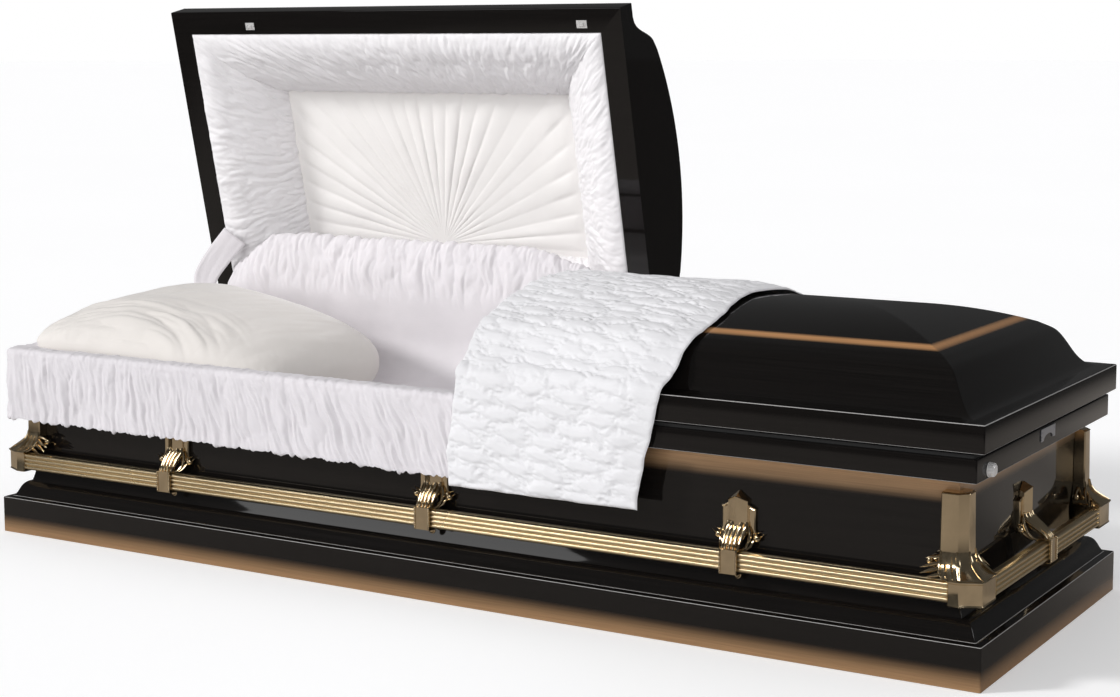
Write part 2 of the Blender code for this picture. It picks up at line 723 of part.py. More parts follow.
def pillow():
    """Two bulging faces that meet in a seam; the near corners rest on the rims."""
    nu, nv = 10, 8
    cx, hx = sum(PILLOW_X) / 2, (PILLOW_X[1] - PILLOW_X[0]) / 2
    cy, hy = sum(PILLOW_Y) / 2, (PILLOW_Y[1] - PILLOW_Y[0]) / 2

    def plan(u, v):
        return (
            cx + hx * u * (1 - 0.07 * (1 - v * v)) - 0.012 * u * u * v * v * math.copysign(1, u),
            cy + hy * v * (1 - 0.05 * (1 - u * u)) - 0.012 * u * u * v * v * math.copysign(1, v),
        )

    def seam(u, v):
        left = smoothstep((-u - 0.1) / 0.9)
        front = smoothstep((-v - 0.1) / 0.9)
        back = smoothstep((v - 0.2) / 0.8)
        return 0.335 + 0.062 * max(left, front) + 0.050 * back * (1 - left * 0.4)

    def fill(u, v):
        return ((1 - abs(u) ** 2.6) * (1 - abs(v) ** 2.6)) ** 0.62

    bm = bmesh.new()
    grid = {}
    for i in range(nu + 1):
        for j in range(nv + 1):
            u, v = -1 + 2 * i / nu, -1 + 2 * j / nv
            x, y = plan(u, v)
            edge = i in (0, nu) or j in (0, nv)
            z = seam(u, v)
            top = z + 0.112 * fill(u, v) * (1 - 0.16 * u) * (1 + 0.10 * v)
            low = max(BED_TOP + 0.0012, z - 0.115 * fill(u, v) ** 0.8)
            grid[i, j, 1] = bm.verts.new((x, y, top if not edge else z))
            grid[i, j, 0] = grid[i, j, 1] if edge else bm.verts.new((x, y, low))
    for i in range(nu):
        for j in range(nv):
            for s in (0, 1):
                quad = [grid[i, j, s], grid[i + 1, j, s], grid[i + 1, j + 1, s], grid[i, j + 1, s]]
                bm.faces.new(quad if s else quad[::-1])
    return finish(bm, "pillow", material("pillow_satin", IVORY, 0.5))


pillow()

# ---------------------------------------------------------------- lining of the head lid
LINE_X0, LINE_X1 = -RIM_A + RIM_WIDTH + 0.0006, SPLIT - RIM_WIDTH - 0.0006
LINE_Y = RIM_B - RIM_WIDTH - 0.0006
PANEL_X0, PANEL_X1 = -0.8550, -0.1030
PANEL_Y0, PANEL_Y1 = -0.1450, 0.2150


def perimeter(x0, x1, y0, y1, nx, ny):
    """Points round a rectangle, in a fixed count so that rings match."""
    pts = [(x0 + (x1 - x0) * k / nx, y0) for k in range(nx)]
    pts += [(x1, y0 + (y1 - y0) * k / ny) for k in range(ny)]
    pts += [(x1 - (x1 - x0) * k / nx, y1) for k in range(nx)]
    pts += [(x0, y1 - (y1 - y0) * k / ny) for k in range(ny)]
    return pts


def border():
    """Gathered roll of cloth between the rim and the pleated panel."""
    nx, ny = 16, 8
    steps = (
        # share of the way from rim to panel, height above the rim plane, how much the gathers show
        (0.0, 0.0200, 0.0),
        (0.0, 0.0015, 0.0),
        (0.10, -0.0020, 0.6),
        (0.32, 0.0090, 1.0),
        (0.58, 0.0330, 1.0),
        (0.82, 0.0680, 0.8),
        (1.0, 0.1060, 0.0),
        (0.98, 0.1180, 0.0),
        (0.75, 0.0900, 0.0),
        (0.45, 0.0500, 0.0),
    )
    bm = bmesh.new()
    rings = []
    for share, up, show in steps:
        lims = [
            o + (i - o) * share
            for o, i in zip((LINE_X0, LINE_X1, -LINE_Y, LINE_Y), (PANEL_X0, PANEL_X1, PANEL_Y0, PANEL_Y1))
        ]
        ring = []
        for k, (x, y) in enumerate(perimeter(*lims, nx, ny)):
            wave = 0.0040 * show if k % 2 else 0.0
            ring.append((x, y, RIM_Z0 + up + wave))
        rings.append(ring)
    loft(bm, rings, loop=True)
    return finish(bm, "lid_border_puffs", material("lid_border_cloth", CLOTH, 0.6), HEAD)


border()

SUN_X, SUN_Y = (PANEL_X0 + PANEL_X1) / 2, 0.188


def sunburst():
    """Flat panel in folds that radiate from the middle of its hinge side."""
    x0, x1, y0, y1 = PANEL_X0 + 0.004, PANEL_X1 - 0.004, PANEL_Y0 + 0.004, PANEL_Y1 - 0.004
    rays, radii = 36, (0.12, 0.5, 1.0)

    def reach(ang):
        dx, dy = math.cos(ang), math.sin(ang)
        best = 9.0
        for lim, origin, d in ((x0, SUN_X, dx), (x1, SUN_X, dx), (y0, SUN_Y, dy), (y1, SUN_Y, dy)):
            if abs(d) > 1e-9 and (lim - origin) / d > 0:
                best = min(best, (lim - origin) / d)
        return best

    angles = [2 * math.pi * k / rays for k in range(rays)]
    for cx, cy in ((x0, y0), (x1, y0), (x1, y1), (x0, y1)):
        ang = math.atan2(cy - SUN_Y, cx - SUN_X) % (2 * math.pi)
        near = min(range(rays), key=lambda k: abs(angles[k] - ang))
        angles[near] = ang
    bm = bmesh.new()
    z = PANEL_DEPTH + 0.0010
    middle = [bm.verts.new((SUN_X, SUN_Y, z + h)) for h in (0.0, 0.0060)]
    rows = []
    for f in radii:
        row = []
        for k, ang in enumerate(angles):
            r = reach(ang) * f
            fold = 0.0045 * f * (k % 2) if f < 1 else 0.0
            x, y = SUN_X + r * math.cos(ang), SUN_Y + r * math.sin(ang)
            row.append([bm.verts.new((x, y, z + fold)), bm.verts.new((x, y, z + 0.0060 + fold))])
        rows.append(row)
    for k in range(rays):
        j = (k + 1) % rays
        for s in (0, 1):
            bm.faces.new((middle[s], rows[0][k][s], rows[0][j][s]))
            for a, b in zip(rows, rows[1:]):
                bm.faces.new((a[k][s], b[k][s], b[j][s], a[j][s]))
        bm.faces.new((rows[-1][k][0], rows[-1][k][1], rows[-1][j][1], rows[-1][j][0]))
    return finish(bm, "lid_sunburst_panel", material("lid_panel_satin", IVORY, 0.5), HEAD)


sunburst()


def back_apron():
    """Gathered cloth standing from the body's back wall up against the head lid's lining."""
    bm = bmesh.new()
    count = 24
    x0, x1 = -0.9750, 0.0300
    rings = []
    for k in range(count + 1):
        x = x0 + (x1 - x0) * k / count
        mid = 2 * (x - (x0 + x1) / 2) / (x1 - x0)
        top = 0.5850 - 0.055 * mid**4
        wave = 0.0050 * (k % 2)
        rings.append(
            [
                (x, 0.2780, 0.3720),
                (x, 0.2500 - wave, 0.4100),
                (x, 0.2420 - wave, 0.4600),
                (x, 0.2520 - wave, 0.5200),
                (x, 0.2720 - wave * 0.5, top - 0.018),
                (x, 0.2860, top),
                (x, 0.2900, top - 0.012),
                (x, 0.2700, 0.5100),
                (x, 0.2600, 0.4500),
                (x, 0.2700, 0.4050),
                (x, 0.2870, 0.3760),
            ]
        )
    loft(bm, rings, True, True)
    return finish(bm, "apron_back", material("apron_back_cloth", CLOTH, 0.6))


back_apron()

bm = bmesh.new()
rings = []
for k in range(7):
    t = k / 6
    x = -1.0030 + 0.0150 * t
    y = 0.2500 + 0.0300 * t - 0.006 * math.sin(math.pi * t)
    z = 0.3960 + 0.1720 * t
    w = 0.0170 - 0.003 * math.sin(math.pi * t)
    rings.append([(x - 0.004, y - w, z), (x + 0.004, y - w, z), (x + 0.006, y, z), (x + 0.004, y + w, z), (x - 0.004, y + w, z), (x - 0.006, y, z)])
loft(bm, rings, True, True)
finish(bm, "lid_stay", material("lid_stay_cloth", CLOTH, 0.6))

# ---------------------------------------------------------------- lining of the foot lid
bm = bmesh.new()
rings = []
for d, z, back in (
    (RIM_WIDTH + 0.0006, RIM_Z0 + 0.0020, RIM_WIDTH + 0.0006),
    (RIM_WIDTH + 0.0060, RIM_Z0 + 0.0010, RIM_WIDTH + 0.0060),
    (RIM_WIDTH + 0.0300, 0.4200, RIM_WIDTH + 0.0200),
    (RIM_WIDTH + 0.0700, 0.4700, RIM_WIDTH + 0.0500),
    (RIM_WIDTH + 0.1100, 0.4950, RIM_WIDTH + 0.1100),
    (RIM_WIDTH + 0.1100, 0.5010, RIM_WIDTH + 0.1100),
    (RIM_WIDTH + 0.0660, 0.4770, RIM_WIDTH + 0.0460),
    (RIM_WIDTH + 0.0220, 0.4240, RIM_WIDTH + 0.0120),
    (RIM_WIDTH + 0.0006, 0.4080, RIM_WIDTH + 0.0006),
):
    rings.append(lid_ring(d, z, 1, SPLIT + SPLIT_GAP + back))
rows = loft(bm, rings, loop=True)
finish(bm, "foot_lid_lining", material("foot_lid_lining_cloth", CLOTH, 0.6), FOOT)

# ---------------------------------------------------------------- quilted throw on the foot lid
THROW_PATH = (
    # y, z of the under side of the cloth, from the front hem over the lid to the back hem
    (-0.3570, 0.2330),
    (-0.3580, 0.3000),
    (-0.3570, 0.3700),
    (-0.3562, 0.4200),
    (-0.3500, 0.4330),
    (-0.3250, 0.4400),
    (-0.3020, 0.4560),
    (-0.2840, 0.4850),
    (-0.2600, 0.5060),
    (-0.2250, 0.5180),
    (-0.1600, 0.5400),
    (-0.0800, 0.5570),
    (0.0, 0.5620),
    (0.0900, 0.5560),
    (0.1700, 0.5380),
    (0.2350, 0.5170),
    (0.2650, 0.5040),
    (0.2900, 0.4760),
    (0.3050, 0.4560),
)
THROW_THICK = 0.0060


def throw():
    """The right edge wanders from the hem at the front to further along at the ridge."""
    count = len(THROW_PATH)
    normals = []
    for i in range(count):
        a, b = THROW_PATH[max(0, i - 1)], THROW_PATH[min(count - 1, i + 1)]
        ty, tz = b[0] - a[0], b[1] - a[1]
        size = math.hypot(ty, tz)
        normals.append((-tz / size, ty / size))
    x0 = SPLIT + SPLIT_GAP + 0.0005
    columns = 7
    bm = bmesh.new()
    rings = []
    for c in range(columns + 1):
        t = c / columns
        under, over = [], []
        for i, ((y, z), (ny, nz)) in enumerate(zip(THROW_PATH, normals)):
            s = i / (count - 1)
            right = 0.4600 + 0.030 * math.sin(math.pi * min(1.0, s * 1.5)) + 0.012 * math.sin(9 * s)
            x = x0 + (right - x0) * t
            bump = 0.0022 if (i + c) % 2 else 0.0
            under.append((x, y, z))
            over.append((x, y + ny * (THROW_THICK + bump), z + nz * (THROW_THICK + bump)))
        rings.append(under + over[::-1])
    loft(bm, rings, True, True)
    return finish(bm, "throw", material("throw_quilted", CLOTH, 0.5), FOOT)


throw()

bpy.context.view_layer.update()
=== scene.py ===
"""Looks of the half-couch casket: paint, castings, cloth, light and camera.

Metres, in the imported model's frame: X along the casket (foot end +X), -Y the open
front, Z up, origin under the middle. Pieces of the open head lid are built with the
lid shut and then turned open with it.
"""

import json
import math

import bpy
import bmesh
import numpy as np
from mathutils import Matrix, Vector

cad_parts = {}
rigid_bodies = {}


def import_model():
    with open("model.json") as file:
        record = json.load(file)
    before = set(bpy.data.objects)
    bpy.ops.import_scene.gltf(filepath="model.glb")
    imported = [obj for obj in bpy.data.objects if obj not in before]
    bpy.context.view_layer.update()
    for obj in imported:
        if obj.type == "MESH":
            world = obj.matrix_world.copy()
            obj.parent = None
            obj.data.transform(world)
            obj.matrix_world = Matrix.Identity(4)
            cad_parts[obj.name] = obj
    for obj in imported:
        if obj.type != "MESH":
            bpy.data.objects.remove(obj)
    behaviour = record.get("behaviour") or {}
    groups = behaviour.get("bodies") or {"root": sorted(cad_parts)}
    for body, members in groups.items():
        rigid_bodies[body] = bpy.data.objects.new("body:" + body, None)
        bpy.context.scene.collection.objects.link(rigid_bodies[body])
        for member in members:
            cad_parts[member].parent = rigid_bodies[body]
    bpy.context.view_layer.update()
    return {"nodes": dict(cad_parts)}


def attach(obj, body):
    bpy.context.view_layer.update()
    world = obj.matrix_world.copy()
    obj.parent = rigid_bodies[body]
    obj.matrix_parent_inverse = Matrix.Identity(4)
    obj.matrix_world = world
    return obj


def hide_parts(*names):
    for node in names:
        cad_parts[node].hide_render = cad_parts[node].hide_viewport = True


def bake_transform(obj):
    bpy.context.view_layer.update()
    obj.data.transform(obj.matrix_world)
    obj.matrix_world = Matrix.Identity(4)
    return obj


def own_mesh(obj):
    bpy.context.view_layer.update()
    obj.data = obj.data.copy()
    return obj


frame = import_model()

for mesh_object in list(bpy.data.objects):
    if mesh_object.name in ("Cube", "Light", "Camera"):
        bpy.data.objects.remove(mesh_object, do_unlink=True)

SCENE = bpy.context.scene
GAP = 0.0004
HINGE_Y, HINGE_Z, OPEN_ANGLE = 0.3570, 0.3920, 1.3518
OPEN = (
    Matrix.Translation((0, HINGE_Y, HINGE_Z))
    @ Matrix.Rotation(-OPEN_ANGLE, 4, "X")
    @ Matrix.Translation((0, -HINGE_Y, -HINGE_Z))
)

BASE_A, BASE_B, BASE_BAND, BASE_LEDGE = 1.0670, 0.3571, 0.0728, 0.0141
BASE_TOP_INSET, BASE_TOP = 0.0366, 0.1035
FLANGE_A, FLANGE_B, FLANGE_Z0, FLANGE_Z1, FLANGE_WIDTH = 1.0511, 0.3487, 0.3294, 0.3681, 0.050
PANEL_A, PANEL_B, CREASE_Z = 1.0080, 0.3080, 0.177
WELL_A, WELL_B, WALL = 1.0000, 0.3000, 0.0035
RIM_A, RIM_B, RIM_Z0, RIM_Z1, RIM_WIDTH = 1.0641, 0.3521, 0.3780, 0.4245, 0.050
SPLIT, SPLIT_GAP, LID_SKIN, SHOULDER_INSET = 0.1056, 0.0030, 0.0035, 0.1133
CROWN_R, CROWN_APEX = 0.638, 0.5560
BAR_Z0, BAR_Z1, BAR_FRONT, BAR_BACK, BAR_END_OUT, BAR_END_IN = 0.1350, 0.1690, 0.3515, 0.3315, 1.0615, 1.0415
FOOT_A, FOOT_B = 1.0125, 0.2815
LUG_X = (-0.623, 0.0, 0.623)
BED_TOP, APRON_TOP, APRON_HEM = 0.2850, 0.3885, 0.2380
GASKET_Z1 = FLANGE_Z1 + 0.0064


# ---------------------------------------------------------------- noise
def lattice(seed):
    rng = np.random.default_rng(seed)
    ang = rng.uniform(0, 2 * math.pi, (256, 256))
    return np.cos(ang), np.sin(ang)


LATTICES = {}


def noise(u, v, seed=1):
    """Smooth gradient noise, about -0.7 to 0.7."""
    if seed not in LATTICES:
        LATTICES[seed] = lattice(seed)
    gx, gy = LATTICES[seed]
    u, v = np.asarray(u, float), np.asarray(v, float)
    iu, iv = np.floor(u).astype(int), np.floor(v).astype(int)
    fu, fv = u - iu, v - iv
    su, sv = fu**3 * (fu * (fu * 6 - 15) + 10), fv**3 * (fv * (fv * 6 - 15) + 10)

    def corner_value(du, dv):
        a, b = (iu + du) & 255, (iv + dv) & 255
        return gx[a, b] * (fu - du) + gy[a, b] * (fv - dv)

    low = corner_value(0, 0) * (1 - su) + corner_value(1, 0) * su
    high = corner_value(0, 1) * (1 - su) + corner_value(1, 1) * su
    return low * (1 - sv) + high * sv


def fbm(u, v, seed=1, octaves=3):
    total, size = 0.0, 1.0
    for k in range(octaves):
        total = total + noise(u * 2**k, v * 2**k, seed + 17 * k) * size
        size *= 0.5
    return total


def crease(u, v, seed=1):
    """0 on thin valley lines, 1 away from them."""
    return np.clip(np.abs(noise(u, v, seed)) * 3.2, 0, 1) ** 0.6


def smooth(t):
    t = np.clip(t, 0.0, 1.0)
    return t * t * (3 - 2 * t)


# ---------------------------------------------------------------- meshes
def make(name, verts, faces, mat, body=None, opened=False, sharp=None, link=True):
    mesh = bpy.data.meshes.new(name)
    mesh.from_pydata([tuple(map(float, p)) for p in verts], [], [tuple(int(i) for i in f) for f in faces])
    mesh.materials.append(mat)
    mesh.polygons.foreach_set("use_smooth", [True] * len(mesh.polygons))
    if sharp is not None:
        mesh.set_sharp_from_angle(angle=math.radians(sharp))
    obj = bpy.data.objects.new(name, mesh)
    SCENE.collection.objects.link(obj)
    if opened:
        obj.matrix_world = OPEN
    if body:
        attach(obj, body)
    return obj


def outward(obj):
    bm = bmesh.new()
    bm.from_mesh(obj.data)
    bmesh.ops.recalc_face_normals(bm, faces=bm.faces)
    bm.to_mesh(obj.data)
    bm.free()
    return obj


def grid_faces(nu, nv, closed_u=False, closed_v=False, start=0):
    mu, mv = (nu if closed_u else nu - 1), (nv if closed_v else nv - 1)
    i, j = np.meshgrid(np.arange(mu), np.arange(mv), indexing="ij")
    a = i * nv + j
    b = ((i + 1) % nu) * nv + j
    c = ((i + 1) % nu) * nv + (j + 1) % nv
    d = i * nv + (j + 1) % nv
    return start + np.stack([a, b, c, d], -1).reshape(-1, 4)


def grid_object(name, P, mat, body=None, opened=False, closed_u=False, closed_v=False, thick=0.0, flip=False):
    """A sheet through the grid of points P, given a thickness towards its back."""
    nu, nv = P.shape[:2]
    faces = grid_faces(nu, nv, closed_u, closed_v)
    if flip:
        faces = faces[:, ::-1]
    obj = make(name, P.reshape(-1, 3), faces, mat, body, opened)
    if thick:
        mod = obj.modifiers.new("thickness", "SOLIDIFY")
        mod.thickness, mod.offset, mod.use_even_offset = thick, -1.0, False
    return obj


def add_painted_edge_highlight(obj, heights):
    """Gives the small rounded edges at these heights a paler base colour: a painted highlight along each edge."""
    obj.data.materials.append(PAINTED_EDGE_HIGHLIGHT)
    last = len(obj.data.materials) - 1
    for face in obj.data.polygons:
        if 0.25 < abs(face.normal.z) < 0.94 and any(abs(face.center.z - z) < 0.0022 for z in heights):
            face.material_index = last


class Build:
    """Gathers simple closed shapes into one mesh."""

    def __init__(self):
        self.v, self.f = [], []

    def add(self, verts, faces):
        n = len(self.v)
        self.v += [tuple(p) for p in verts]
        self.f += [tuple(i + n for i in f) for f in faces]

    def rings(self, rings, cap_first=True, cap_last=True, loop=False):
        count = len(rings[0])
        verts = [p for ring in rings for p in ring]
        faces = []
        pairs = [(k, k + 1) for k in range(len(rings) - 1)] + ([(len(rings) - 1, 0)] if loop else [])
        for a, b in pairs:
            for i in range(count):
                j = (i + 1) % count
                faces.append((a * count + i, a * count + j, b * count + j, b * count + i))
        if cap_first and not loop:
            faces.append(tuple(range(count))[::-1])
        if cap_last and not loop:
            faces.append(tuple((len(rings) - 1) * count + i for i in range(count)))
        self.add(verts, faces)

    def tube(self, points, radii, sides=10, flat=1.0):
        """A round-ended bar along points; flat squeezes it along its second axis."""
        pts = [Vector(p) for p in points]
        if not hasattr(radii, "__len__"):
            radii = [radii] * len(pts)
        rings, up = [], None
        for k, p in enumerate(pts):
            d = (pts[min(k + 1, len(pts) - 1)] - pts[max(k - 1, 0)]).normalized()
            if up is None:
                up = Vector((0, 0, 1)) if abs(d.z) < 0.9 else Vector((0, 1, 0))
            side = d.cross(up).normalized()
            up = side.cross(d).normalized()
            rings.append([p + radii[k] * (side * math.cos(2 * math.pi * i / sides) + up * flat * math.sin(2 * math.pi * i / sides)) for i in range(sides)])
        self.rings([[tuple(q) for q in ring] for ring in rings])

    def ball(self, centre, r, nu=16, nv=10):
        verts = [(centre[0], centre[1], centre[2] + r)]
        for j in range(1, nv):
            t = math.pi * j / nv
            for i in range(nu):
                a = 2 * math.pi * i / nu
                verts.append((centre[0] + r * math.sin(t) * math.cos(a), centre[1] + r * math.sin(t) * math.sin(a), centre[2] + r * math.cos(t)))
        verts.append((centre[0], centre[1], centre[2] - r))
        faces = [(0, 1 + i, 1 + (i + 1) % nu) for i in range(nu)]
        for j in range(nv - 2):
            for i in range(nu):
                a, b = 1 + j * nu + i, 1 + j * nu + (i + 1) % nu
                faces.append((a, a + nu, b + nu, b))
        last = len(verts) - 1
        faces += [(last, last - nu + (i + 1) % nu, last - nu + i) for i in range(nu)]
        self.add(verts, faces)

    def box(self, x0, x1, y0, y1, z0, z1):
        self.rings([[(x0, y0, z), (x1, y0, z), (x1, y1, z), (x0, y1, z)] for z in (z0, z1)])

    def object(self, name, mat, body=None, opened=False, sharp=30, place=None, bevel=None):
        verts = [place(*p) for p in self.v] if place else self.v
        obj = make(name, verts, self.f, mat, None, opened, None)
        outward(obj)
        if bevel:
            mod = obj.modifiers.new("edges", "BEVEL")
            mod.width, mod.segments, mod.limit_method = bevel, 2, "ANGLE"
            mod.angle_limit = math.radians(28)
            mod.harden_normals = False
        if sharp is not None:
            obj.data.set_sharp_from_angle(angle=math.radians(sharp))
        if body:
            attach(obj, body)
        return obj


def fillet(profile, steps=3):
    """Rounds the corners of (inset, z, radius) points; radius 0 keeps the corner."""
    out = []
    for k, (x, z, r) in enumerate(profile):
        if r <= 0 or k in (0, len(profile) - 1):
            out.append((x, z))
            continue
        p = Vector((x, z))
        a, b = Vector(profile[k - 1][:2]) - p, Vector(profile[k + 1][:2]) - p
        cut = min(r, a.length * 0.45, b.length * 0.45)
        s, e = p + a.normalized() * cut, p + b.normalized() * cut
        for i in range(steps + 1):
            t = i / steps
            q = s * (1 - t) ** 2 + p * 2 * t * (1 - t) + e * t**2
            out.append((q.x, q.y))
    return out


def through(points, per=6):
    """Smooth curve through points (centripetal enough for profiles)."""
    P = [np.array(p, float) for p in points]
    P = [2 * P[0] - P[1]] + P + [2 * P[-1] - P[-2]]
    out = []
    for k in range(1, len(P) - 2):
        for i in range(per):
            t = i / per
            a, b, c, d = P[k - 1], P[k], P[k + 1], P[k + 2]
            out.append(0.5 * ((2 * b) + (c - a) * t + (2 * a - 5 * b + 4 * c - d) * t * t + (3 * b - a - 3 * c + d) * t**3))
    out.append(P[-2])
    return [tuple(p) for p in out]


def plan_ring(x0, x1, y0, y1, z, r, steps=4, square=()):
    """Rectangle with rounded plan corners; corners named in square stay sharp."""
    pts = []
    for n, (cx, cy, sx, sy, start) in enumerate(((x0, y0, 1, 1, 180), (x1, y0, -1, 1, 270), (x1, y1, -1, -1, 0), (x0, y1, 1, -1, 90))):
        rr = 0.0 if n in square else r
        for k in range(steps + 1):
            a = math.radians(start + 90 * k / steps)
            pts.append((cx + sx * rr + rr * math.cos(a), cy + sy * rr + rr * math.sin(a), z))
    return pts


def shell(name, profile, mat, body, r=0.0025, caps=(False, False), loop=False, split=None, opened=False, sharp=24):
    """A mitred moulding: profile is (a, b, z) half sizes, level by level.

    split = (side, [ends]) makes a lid of one side of the casket instead.
    """
    b = Build()
    rings = []
    for k, (a, half, z) in enumerate(profile):
        if split:
            side, ends = split
            x0, x1 = min(side * a, ends[k]), max(side * a, ends[k])
            square = (1, 2) if side < 0 else (0, 3)
            rings.append(plan_ring(x0, x1, -half, half, z, min(r, half * 0.5), square=square))
        else:
            rings.append(plan_ring(-a, a, -half, half, z, r))
    b.rings(rings, caps[0], caps[1], loop)
    return b.object(name, mat, body, opened, sharp)


# ---------------------------------------------------------------- materials
def nodes_of(mat):
    mat.use_nodes = True
    tree = mat.node_tree
    return tree, tree.nodes["Principled BSDF"]


class Nodes:
    """Short calls for building a material's node tree."""

    def __init__(self, name):
        self.mat = bpy.data.materials.new(name)
        self.tree, self.bsdf = nodes_of(self.mat)
        self.coord = self.tree.nodes.new("ShaderNodeTexCoord")

    def new(self, kind, **settings):
        node = self.tree.nodes.new(kind)
        for key, value in settings.items():
            setattr(node, key, value)
        return node

    def link(self, a, b):
        self.tree.links.new(a, b)

    def mapping(self, scale=(1, 1, 1), rotation=(0, 0, 0), location=(0, 0, 0)):
        node = self.new("ShaderNodeMapping")
        node.inputs["Scale"].default_value = scale
        node.inputs["Rotation"].default_value = rotation
        node.inputs["Location"].default_value = location
        self.link(self.coord.outputs["Object"], node.inputs["Vector"])
        return node.outputs["Vector"]

    def noise(self, scale, detail=2.0, rough=0.5, vector=None, distortion=0.0):
        node = self.new("ShaderNodeTexNoise")
        node.inputs["Scale"].default_value = scale
        node.inputs["Detail"].default_value = detail
        node.inputs["Roughness"].default_value = rough
        node.inputs["Distortion"].default_value = distortion
        self.link(vector or self.coord.outputs["Object"], node.inputs["Vector"])
        return node.outputs["Fac"]

    def range(self, value, a, b, c=0.0, d=1.0, kind="SMOOTHSTEP"):
        node = self.new("ShaderNodeMapRange", interpolation_type=kind)
        for key, x in zip(("From Min", "From Max", "To Min", "To Max"), (a, b, c, d)):
            node.inputs[key].default_value = x
        self.link(value, node.inputs["Value"])
        return node.outputs["Result"]

    def math(self, op, a, b=None, c=None):
        node = self.new("ShaderNodeMath", operation=op)
        for k, x in enumerate((a, b, c)):
            if x is None:
                continue
            if isinstance(x, (int, float)):
                node.inputs[k].default_value = x
            else:
                self.link(x, node.inputs[k])
        return node.outputs[0]

    def mix(self, fac, a, b):
        node = self.new("ShaderNodeMix", data_type="RGBA")
        for key, x in ((0, fac), (6, a), (7, b)):
            if isinstance(x, (int, float)):
                node.inputs[key].default_value = x
            elif isinstance(x, tuple):
                node.inputs[key].default_value = (*x, 1.0)
            else:
                self.link(x, node.inputs[key])
        return node.outputs[2]

    def axes(self):
        node = self.new("ShaderNodeSeparateXYZ")
        self.link(self.coord.outputs["Object"], node.inputs[0])
        return node.outputs

    def bump(self, height, strength, distance, normal=None):
        node = self.new("ShaderNodeBump")
        node.inputs["Strength"].default_value = strength
        node.inputs["Distance"].default_value = distance
        self.link(height, node.inputs["Height"])
        if normal is not None:
            self.link(normal, node.inputs["Normal"])
        return node.outputs["Normal"]

    def set(self, **values):
        for key, value in values.items():
            socket = self.bsdf.inputs[key.replace("_", " ")]
            if isinstance(value, (int, float)):
                socket.default_value = value
            elif isinstance(value, tuple):
                socket.default_value = (*value, 1.0) if len(value) == 3 and socket.type == "RGBA" else value
            else:
                self.link(value, socket)


BLACK = (0.0050, 0.0042, 0.0038)
COPPER = (0.48, 0.285, 0.145)


def paint(name, bands, copper=COPPER):
    """Black lacquer over brushed metal, shaded to copper in bands of height.

    bands are (full, gone) pairs of z, or (gone, full, full, gone).
    """
    n = Nodes(name)
    z = n.axes()[2]
    mask = None
    for band in bands:
        if len(band) == 2:
            one = n.range(z, band[1], band[0]) if band[0] > band[1] else n.math("SUBTRACT", 1.0, n.range(z, band[0], band[1]))
        else:
            one = n.math("MULTIPLY", n.range(z, band[0], band[1]), n.math("SUBTRACT", 1.0, n.range(z, band[2], band[3])))
        mask = one if mask is None else n.math("MAXIMUM", mask, one)
    streak = n.noise(1.0, 4.0, 0.65, n.mapping((5, 420, 420)))
    cloud = n.noise(3.0, 2.0, 0.5)
    dark = n.mix(n.range(streak, 0.25, 0.75), (BLACK[0] * 0.75, BLACK[1] * 0.75, BLACK[2] * 0.75), (BLACK[0] * 1.45, BLACK[1] * 1.45, BLACK[2] * 1.45))
    bright = n.mix(n.range(streak, 0.2, 0.8), tuple(c * 0.80 for c in copper), tuple(c * 1.15 for c in copper))
    if mask is None:
        colour = dark
        metal = None
    else:
        mask = n.math("MULTIPLY", mask, n.range(cloud, 0.2, 0.8, 0.90, 1.0))
        colour = n.mix(mask, dark, bright)
        metal = n.math("MULTIPLY", mask, 0.45)
    n.set(Base_Color=colour, Roughness=n.range(streak, 0.2, 0.8, 0.30, 0.42), Coat_Weight=1.0, Coat_Roughness=0.04, Coat_IOR=1.45)
    if metal is not None:
        n.set(Metallic=metal)
    n.bsdf.inputs["Specular IOR Level"].default_value = 0.04
    n.set(Normal=n.bump(streak, 0.05, 0.0004))
    return n.mat


def gold(name, colour, low, high, grain=900.0):
    n = Nodes(name)
    wear = n.noise(38.0, 3.0, 0.6) if grain else n.noise(2.5, 0.0)
    tone = n.mix(n.range(wear, 0.3, 0.7), tuple(c * 0.90 for c in colour), tuple(min(1.0, c * 1.06) for c in colour))
    n.set(Base_Color=tone, Metallic=1.0, Roughness=n.range(wear, 0.3, 0.75, low, high))
    if grain:
        n.set(Normal=n.bump(n.noise(grain, 2.0, 0.5), 0.008, 0.00002))
    return n.mat


def cloth(name, colour, rough=0.75, sheen=0.25, weave=2600.0, crinkle=150.0, strength=0.25, satin=0.0, shade=0.94):
    """Light cloth with a fine weave and small crinkles, a little darker in patches."""
    n = Nodes(name)
    threads = n.noise(weave, 2.0, 0.6)
    small = n.noise(crinkle, 4.0, 0.62, distortion=0.6)
    patch = n.noise(9.0, 3.0, 0.6)
    tone = n.mix(n.range(patch, 0.3, 0.7), tuple(c * shade for c in colour), colour)
    normal = n.bump(small, strength, 0.0016)
    normal = n.bump(threads, 0.25, 0.0002, normal)
    n.set(Base_Color=tone, Roughness=n.range(small, 0.3, 0.7, rough - 0.06, rough + 0.06), Normal=normal)
    n.set(Sheen_Weight=sheen, Sheen_Roughness=0.4)
    n.bsdf.inputs["Specular IOR Level"].default_value = 0.3 + satin
    n.bsdf.inputs["Subsurface Weight"].default_value = 0.0
    return n.mat


def metal(name, colour, low, high, metallic=1.0):
    n = Nodes(name)
    wear = n.noise(60.0, 3.0, 0.6)
    tone = n.mix(n.range(wear, 0.3, 0.7), tuple(c * 0.9 for c in colour), colour)
    n.set(Base_Color=tone, Metallic=metallic, Roughness=n.range(wear, 0.3, 0.7, low, high), Normal=n.bump(n.noise(700.0), 0.05, 0.0002))
    return n.mat


